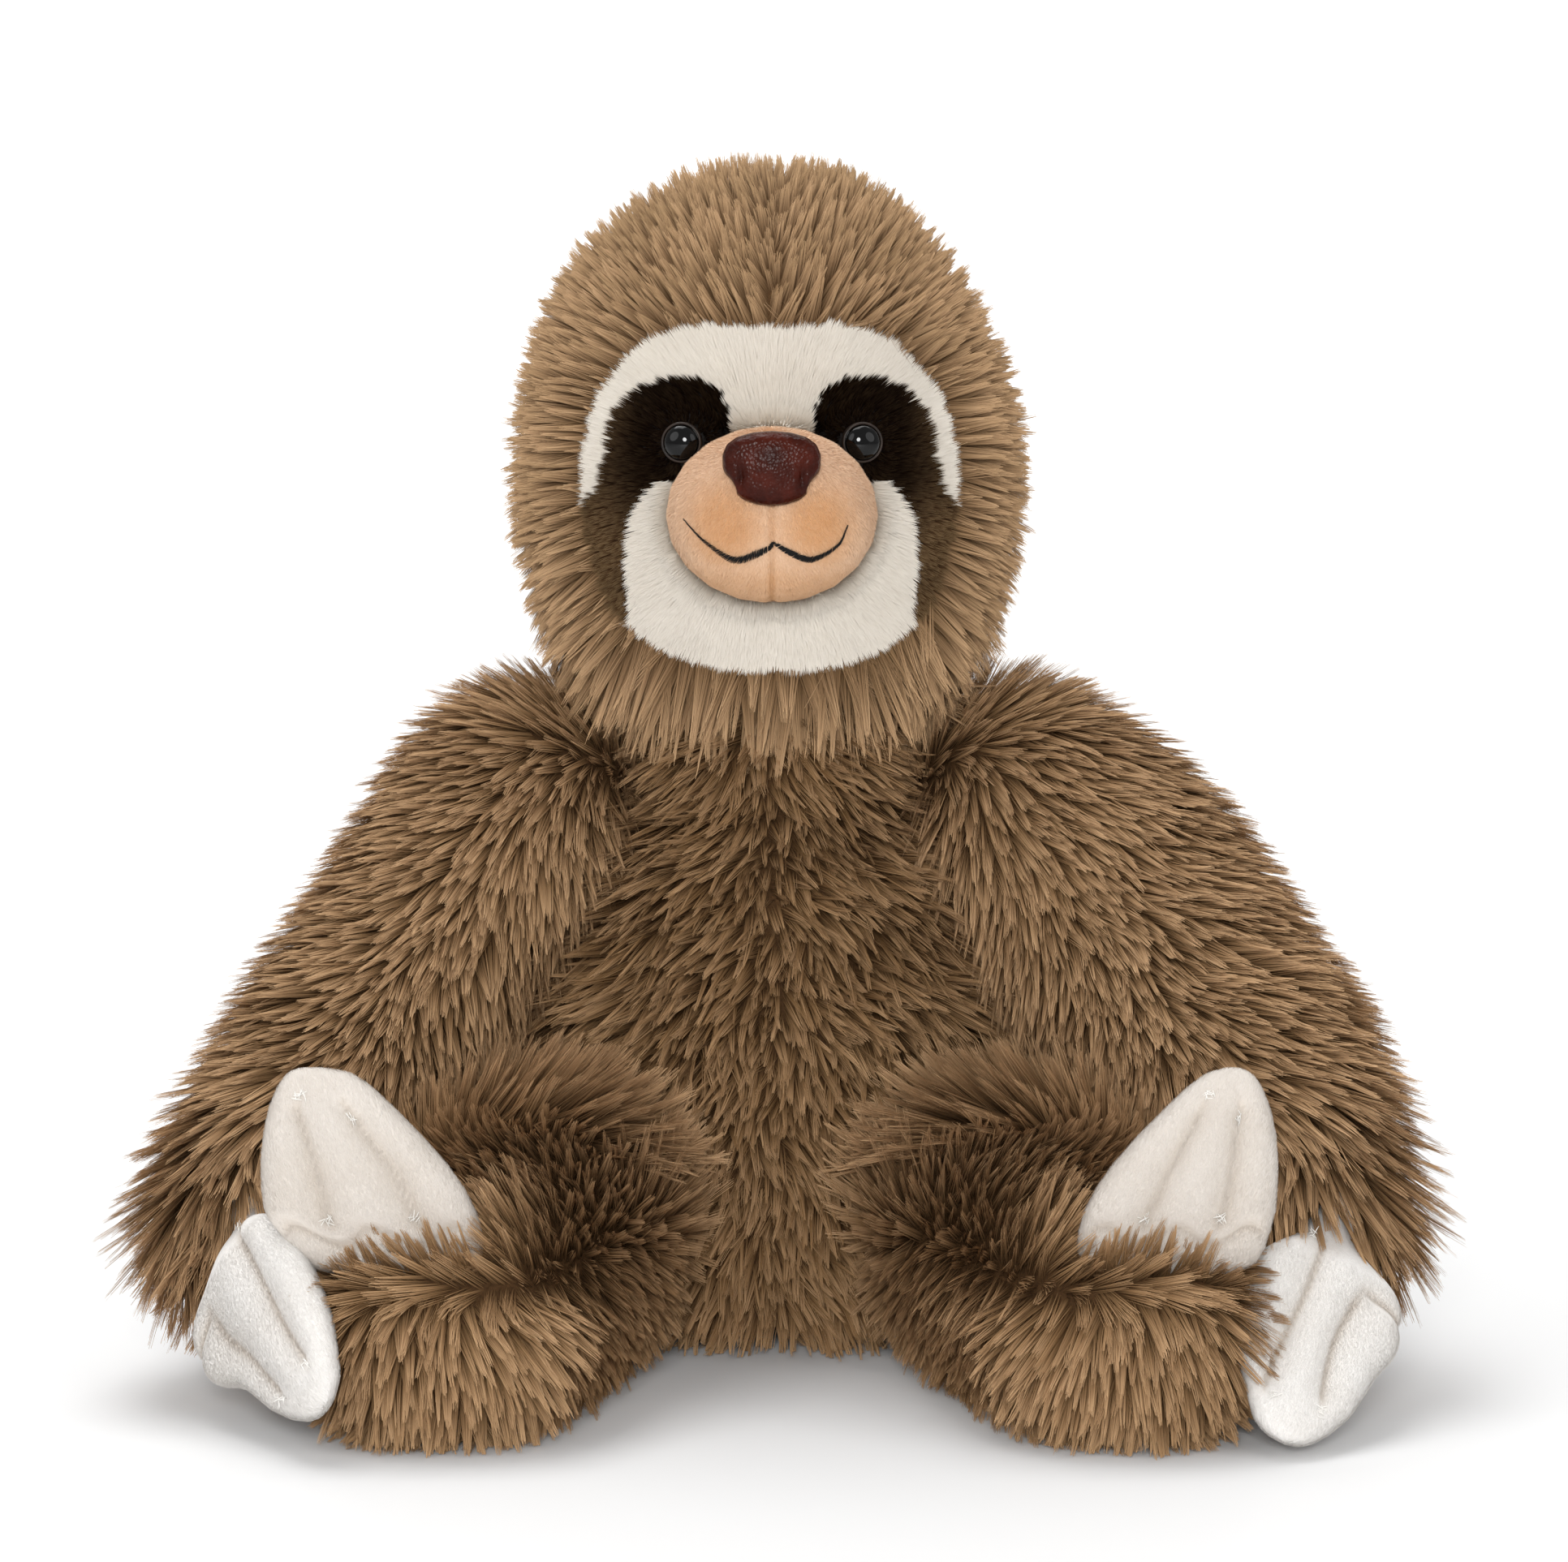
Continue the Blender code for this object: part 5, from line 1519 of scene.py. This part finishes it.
@dataclass
class Mouth:
    """The embroidered smile: satin stitches along a line, thick at its two lows."""

    line: tuple = (
        (-0.0247, 0.2543),
        (-0.0188, 0.2483),
        (-0.0107, 0.2434),
        (-0.0037, 0.2452),
        (0.0010, 0.2480),
        (0.0056, 0.2452),
        (0.0114, 0.2434),
        (0.0184, 0.2471),
        (0.0212, 0.2527),
    )
    widths: tuple = (0.0003, 0.0008, 0.0019, 0.0016, 0.0008, 0.0014, 0.0016, 0.0008, 0.0003)
    thread_count: int = 190

    def build(self, muzzle: bpy.types.Object, tree: StitchTree, thread: bpy.types.Material) -> None:
        """Lays the stitches on the muzzle.

        Args:
            muzzle: The muzzle's skin.
            tree: The stitches' node tree.
            thread: The thread's material.
        """
        surface = BVHTree.FromObject(muzzle, bpy.context.evaluated_depsgraph_get())
        steps = np.linspace(0, len(self.line) - 1, self.thread_count)
        knots = np.arange(len(self.line))
        line = np.array(self.line)
        rng = np.random.default_rng(7)
        smooth = self.curve(line, steps)
        widths = np.interp(steps, knots, self.widths)
        rows = []
        for index, (x, z) in enumerate(smooth):
            ahead = smooth[min(index + 1, len(smooth) - 1)] - smooth[max(index - 1, 0)]
            place, normal, _, _ = surface.ray_cast(Vector((x, -0.2, z)), Vector((0, 1, 0)))
            along = Vector((ahead[0], 0.0, ahead[1])).normalized()
            across = normal.cross(along).normalized()
            slant = (across + along * (0.45 + 0.25 * rng.random())).normalized()
            spot = place + normal * 0.00075 + across * float(rng.normal(0, 0.00006))
            half = float(widths[index]) * (0.8 + 0.15 * rng.random())
            rows.append((spot, slant, normal, (half, 0.00016, 0.00022)))
        piece = tree.lay("mouth_stitches", rows, thread)
        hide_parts("mouth_embroidery")
        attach(piece, "head")
        LOG.info("mouth: %d stitches", len(rows))

    @staticmethod
    def curve(knots: Array, steps: Array) -> Array:
        """A smooth line through the knots, broken at the middle one."""
        found = []
        half = len(knots) // 2
        for step in steps:
            low = min(int(step), len(knots) - 2)
            share = step - low
            start, end = knots[low], knots[low + 1]
            before = knots[low - 1] if low not in (0, half) else start * 2 - end
            after = knots[low + 2] if low + 1 not in (half, len(knots) - 1) else end * 2 - start
            leave, arrive = (end - before) / 2, (after - start) / 2
            s2, s3 = share**2, share**3
            first = start * (2 * s3 - 3 * s2 + 1) + leave * (s3 - 2 * s2 + share)
            found.append(first + end * (3 * s2 - 2 * s3) + arrive * (s3 - s2))
        return np.array(found)


@dataclass
class Eye:
    """A glossy safety eye: a black dome in a thin brown rim."""

    side: str = "left"
    spread: float = 0.0258
    height: float = 0.275
    turn: float = 11.0
    radius: float = 0.0060
    dome: float = 0.0030

    def profile(self) -> list[tuple[float, float]]:
        """The turned outline, from the middle of the dome to the back of the rim."""
        pupil = self.radius * 0.86
        rows = [(pupil * math.sin(t), self.dome * math.cos(t)) for t in np.linspace(0, math.pi / 2, 17)]
        front = [(0.875, 0.10), (0.90, 0.16), (0.95, 0.17), (0.99, 0.10)]
        shares = front + [(1.0, -0.02), (0.98, -0.8), (0.6, -0.9)]
        rim = [(wide * self.radius, lift * self.dome) for wide, lift in shares]
        return rows + rim + [(0.0, -0.9 * self.dome)]

    def build(self, dark: bpy.types.Material, rim: bpy.types.Material) -> None:
        """Turns the eye on its axis and puts it on its node's place."""
        side = SIDES[self.side]
        turned = bmesh.new()
        points = [turned.verts.new((r, 0.0, h)) for r, h in self.profile()]
        edges = [turned.edges.new(pair) for pair in zip(points, points[1:])]
        circle = {"cent": (0, 0, 0), "axis": (0, 0, 1), "angle": math.tau, "steps": 56, "use_merge": True}
        bmesh.ops.spin(turned, geom=points + edges, **circle)
        bmesh.ops.remove_doubles(turned, verts=turned.verts, dist=1e-6)
        bmesh.ops.recalc_face_normals(turned, faces=turned.faces)
        turn = math.radians(self.turn)
        outward = Vector((side * math.sin(turn), -math.cos(turn), 0.0))
        low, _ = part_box(f"eye_{self.side}")
        tip = Vector((side * self.spread, low[1], self.height)) + Vector((side * 0.0012, 0.0001, 0.0))
        base = tip - outward * self.dome
        for face in turned.faces:
            centre = face.calc_center_median()
            face.material_index = int(math.hypot(centre.x, centre.y) > self.radius * 0.87)
            face.smooth = True
        pose = Matrix.Translation(base) @ outward.to_track_quat("Z", "X").to_matrix().to_4x4()
        bmesh.ops.transform(turned, matrix=pose, verts=turned.verts)
        mesh = bpy.data.meshes.new(f"eye_dome_{self.side}")
        turned.to_mesh(mesh)
        turned.free()
        mesh.materials.append(dark)
        mesh.materials.append(rim)
        piece = linked(f"eye_dome_{self.side}", mesh)
        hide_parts(f"eye_{self.side}")
        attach(piece, "head")
        LOG.info("eye %s: %d faces", self.side, len(mesh.polygons))


@dataclass
class Nose:
    """The moulded nose, with a notch and a curved nostril on each side."""

    height: float = 0.269
    voxel: float = 0.00045
    nostril: tuple[float, float] = (0.0092, 0.2668)
    notch: tuple[float, float] = (0.0136, 0.2652)

    def build(self, solids: dict, plastic: bpy.types.Material) -> None:
        """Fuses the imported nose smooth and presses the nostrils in."""
        skin = Skin("nose", "head", ("nose",), "nose_plastic", (), self.voxel, smoothing=9)
        mesh = skin.fuse({"nose": solids["nose"]})
        places = points_of(mesh)
        outward = normals_of(mesh)
        x, y, z = places.T
        side = np.abs(x)
        bow = self.nostril[0] - 0.0012 * np.cos((z - self.nostril[1]) / 0.0035)
        groove = bump(side, bow + 0.0006, 0.0008) * bump(z, self.nostril[1], 0.0034)
        notch = bump(side, self.notch[0], 0.0022) * bump(z, self.notch[1], 0.0018)
        crest = 0.0006 * bump(z, self.height + 0.002, 0.006) * bump(side, 0.0, 0.007)
        move = outward * (crest - 0.0011 * groove)[:, None]
        move[:, 0] -= np.sign(x) * 0.0017 * notch
        mesh.vertices.foreach_set("co", (places + move).astype(np.float32).ravel())
        mesh.update()
        mesh.materials.clear()
        mesh.materials.append(plastic)
        piece = linked("nose_moulding", mesh)
        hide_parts("nose")
        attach(piece, "head")
        LOG.info("nose: %d faces", len(mesh.polygons))


@dataclass
class Studio:
    """The floor, the backdrop, the lights and the camera."""

    aim: tuple[float, float, float] = (0.0035, 0.0, 0.1682)
    distance: float = 1.342
    elevation: float = 7.0
    lens: float = 100.0

    def camera(self) -> None:
        """Places the camera at the photograph's angle."""
        data = bpy.data.cameras.new("camera")
        data.lens = self.lens
        data.sensor_width = 36.0
        camera = bpy.data.objects.new("camera", data)
        turn = math.radians(self.elevation)
        offset = Vector((0.0, -math.cos(turn), math.sin(turn))) * self.distance
        camera.location = Vector(self.aim) + offset
        camera.rotation_euler = (-offset).to_track_quat("-Z", "Y").to_euler()
        bpy.context.scene.collection.objects.link(camera)
        bpy.context.scene.camera = camera

    def lamp(
        self,
        name: str,
        place: tuple[float, float, float],
        size: float,
        power: float,
        shape: str = "SQUARE",
        target: Optional[tuple[float, float, float]] = None,
    ) -> None:
        """Hangs a softbox.

        Args:
            name: What it is called.
            place: Where it hangs.
            size: Its width.
            power: Its watts.
            shape: Blender's name of its outline.
            target: What it is aimed at, or the toy.
        """
        data = bpy.data.lights.new(name, "AREA")
        data.shape = shape
        data.size = size
        data.energy = power
        lamp = bpy.data.objects.new(name, data)
        lamp.location = place
        lamp.rotation_euler = (Vector(target or self.aim) - Vector(place)).to_track_quat("-Z", "Y").to_euler()
        bpy.context.scene.collection.objects.link(lamp)

    def floor(self) -> None:
        """A pale floor that sweeps up into a backdrop."""
        sweep = bmesh.new()
        rows = []
        for step in range(25):
            turn = math.radians(90) * min(max((step - 1) / 22, 0), 1)
            y = -2.5 if step == 0 else 0.7 + 2.0 * math.sin(turn)
            z = 4.0 if step == 24 else 2.0 * (1 - math.cos(turn)) if step else 0.0
            rows.append([sweep.verts.new((x, y, z)) for x in (-3.5, 3.5)])
        for low, high in zip(rows, rows[1:]):
            sweep.faces.new((low[0], low[1], high[1], high[0]))
        mesh = bpy.data.meshes.new("floor")
        sweep.to_mesh(mesh)
        sweep.free()
        mesh.shade_smooth()
        material, _, shader = new_material("pale_floor")
        shader.inputs["Base Color"].default_value = (0.82, 0.82, 0.82, 1.0)
        shader.inputs["Roughness"].default_value = 0.6
        mesh.materials.append(material)
        linked("floor", mesh)

    def build(self) -> None:
        """Sets up the whole studio."""
        self.camera()
        self.floor()
        self.lamp("front_softbox", (-0.05, -1.7, 0.6), 0.46, 16.0, "DISK")
        self.lamp("left_softbox", (-1.3, -1.1, 1.0), 1.3, 7.0, "DISK")
        self.lamp("right_softbox", (1.3, -1.1, 0.9), 1.3, 6.0, "DISK")
        self.lamp("top_softbox", (-0.3, 0.2, 1.8), 1.1, 13.0)
        self.lamp("backdrop_softbox", (0.0, 0.75, 1.9), 1.6, 30.0, target=(0.0, 2.6, 0.5))
        world = bpy.data.worlds.new("studio_air")
        world.use_nodes = True
        world.node_tree.nodes["Background"].inputs["Color"].default_value = (1.0, 1.0, 1.0, 1.0)
        world.node_tree.nodes["Background"].inputs["Strength"].default_value = 0.46
        bpy.context.scene.world = world
        bpy.context.scene.view_settings.view_transform = "Standard"


def limbs(kind: type[Pelt]) -> list[Pelt]:
    """The left and the right limb of a kind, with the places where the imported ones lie.

    Args:
        kind: Arm, Leg, Hand or FootClaws.

    Returns:
        The left one, then the right one.
    """
    wrists = ((0.166, -0.1003, 0.0598), (-0.1648, -0.1004, 0.0588))
    hands = ((-0.292, -0.739, -0.607), (0.466, -0.763, -0.448))
    roots = ((0.111, -0.1412, 0.0525), (-0.1061, -0.1412, 0.0525))
    if kind is Arm:
        ways = ((0.5015, -0.484, -0.7175), (-0.493, -0.483, -0.721))
        rows = zip(SIDES, ways, wrists, hands, (0.011, 0.001))
        return [
            Arm(side, way, wrist, hand_direction=hand, outer_fullness=full)
            for side, way, wrist, hand, full in rows
        ]
    if kind is Leg:
        return [Leg(side, root) for side, root in zip(SIDES, roots)]
    if kind is FootClaws:
        rows = zip(SIDES, roots, (0.001, 0.007))
        return [FootClaws(side, root, outer_fullness=full) for side, root, full in rows]
    turned = {"breadth": (0.6, -0.5, 0.8), "length": 0.093, "thumb_side": -1.0}
    return [Hand("left"), Hand("right", wrists[1], hands[1], **turned, palm_fullness=0.011, sink=0.014)]


def main() -> None:
    """Builds every class in order."""
    logging.basicConfig(level=logging.INFO, format="%(message)s")
    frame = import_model()
    solids = frame["nodes"]
    Studio().build()
    tree = FurTree()
    threads = StitchTree()
    brown = {Zone.PLUSH: ClothFinish("brown_backing", "543a20", "3c2814", sheen=0.0).material()}
    hood = ClothFinish("hood_backing", "6a4d30", "4d3620", sheen=0.0).material()
    white = ClothFinish("white_backing", "dcd5ca", "cdc5b8", sheen=0.1).material()
    dark = ClothFinish("dark_backing", "0d0603", "060301", sheen=0.0).material()
    # Its accent colours the low tone: the airbrushed blush, and the painted shade on the lower rim and along
    # the seam.
    velour = ClothFinish("velour_backing", "dfc1a5", "d4b498", "c9986a", 1400.0, sheen=0.1).material()
    # Its accent colours the low tone: the painted shade in the furrows and on the claws.
    velboa = ClothFinish("velboa_backing", "eae8e5", "e0ddd9", "c8beb3", 1200.0, sheen=0.1).material()
    nose = PlasticFinish("nose_maroon", "40150b", "2a0c06", 0.26, 0.0, 0.1, 1100.0, 0.4).material()
    gloss = PlasticFinish("eye_black", "030303", "020202", 0.05, 0.0, 0.3).material()
    rim = PlasticFinish("eye_rim_brown", "2a1c12", "170f09", 0.45, 0.0, 0.3).material()
    washer = PlasticFinish("washer_milky", "e2e0da", "cfccc4", 0.45, 0.1).material()
    knots = ClothFinish("white_thread", "f4f2ee", "e4e1db", "", 2500.0, 300.0, 0.4, 0.35, 0.2).material()
    thread = ClothFinish("black_thread", "0e0b09", "040303", "", 2500.0, 300.0, 0.6, 0.6, 0.05).material()
    Torso().build(solids, tree, brown)
    for arm in limbs(Arm):
        arm.build(solids, tree, brown)
    for leg in limbs(Leg):
        leg.build(solids, tree, brown)
    for mitten in (*limbs(Hand), *limbs(FootClaws)):
        mitten.tie(mitten.build(solids, tree, {Zone.PLUSH: velboa}), threads, knots)
    Head().build(solids, tree, {Zone.PLUSH: hood, Zone.WHITE: white, Zone.DARK: dark, Zone.BARE: dark})
    muzzle = Muzzle().build(solids, tree, {Zone.PLUSH: velour})
    Mouth().build(muzzle, threads, thread)
    for side in SIDES:
        Eye(side).build(gloss, rim)
    Nose().build(solids, nose)
    for name in ("eye_washer_left", "eye_washer_right", "nose_washer"):
        solids[name].data.materials.clear()
        solids[name].data.materials.append(washer)


if __name__ == "__main__":
    main()
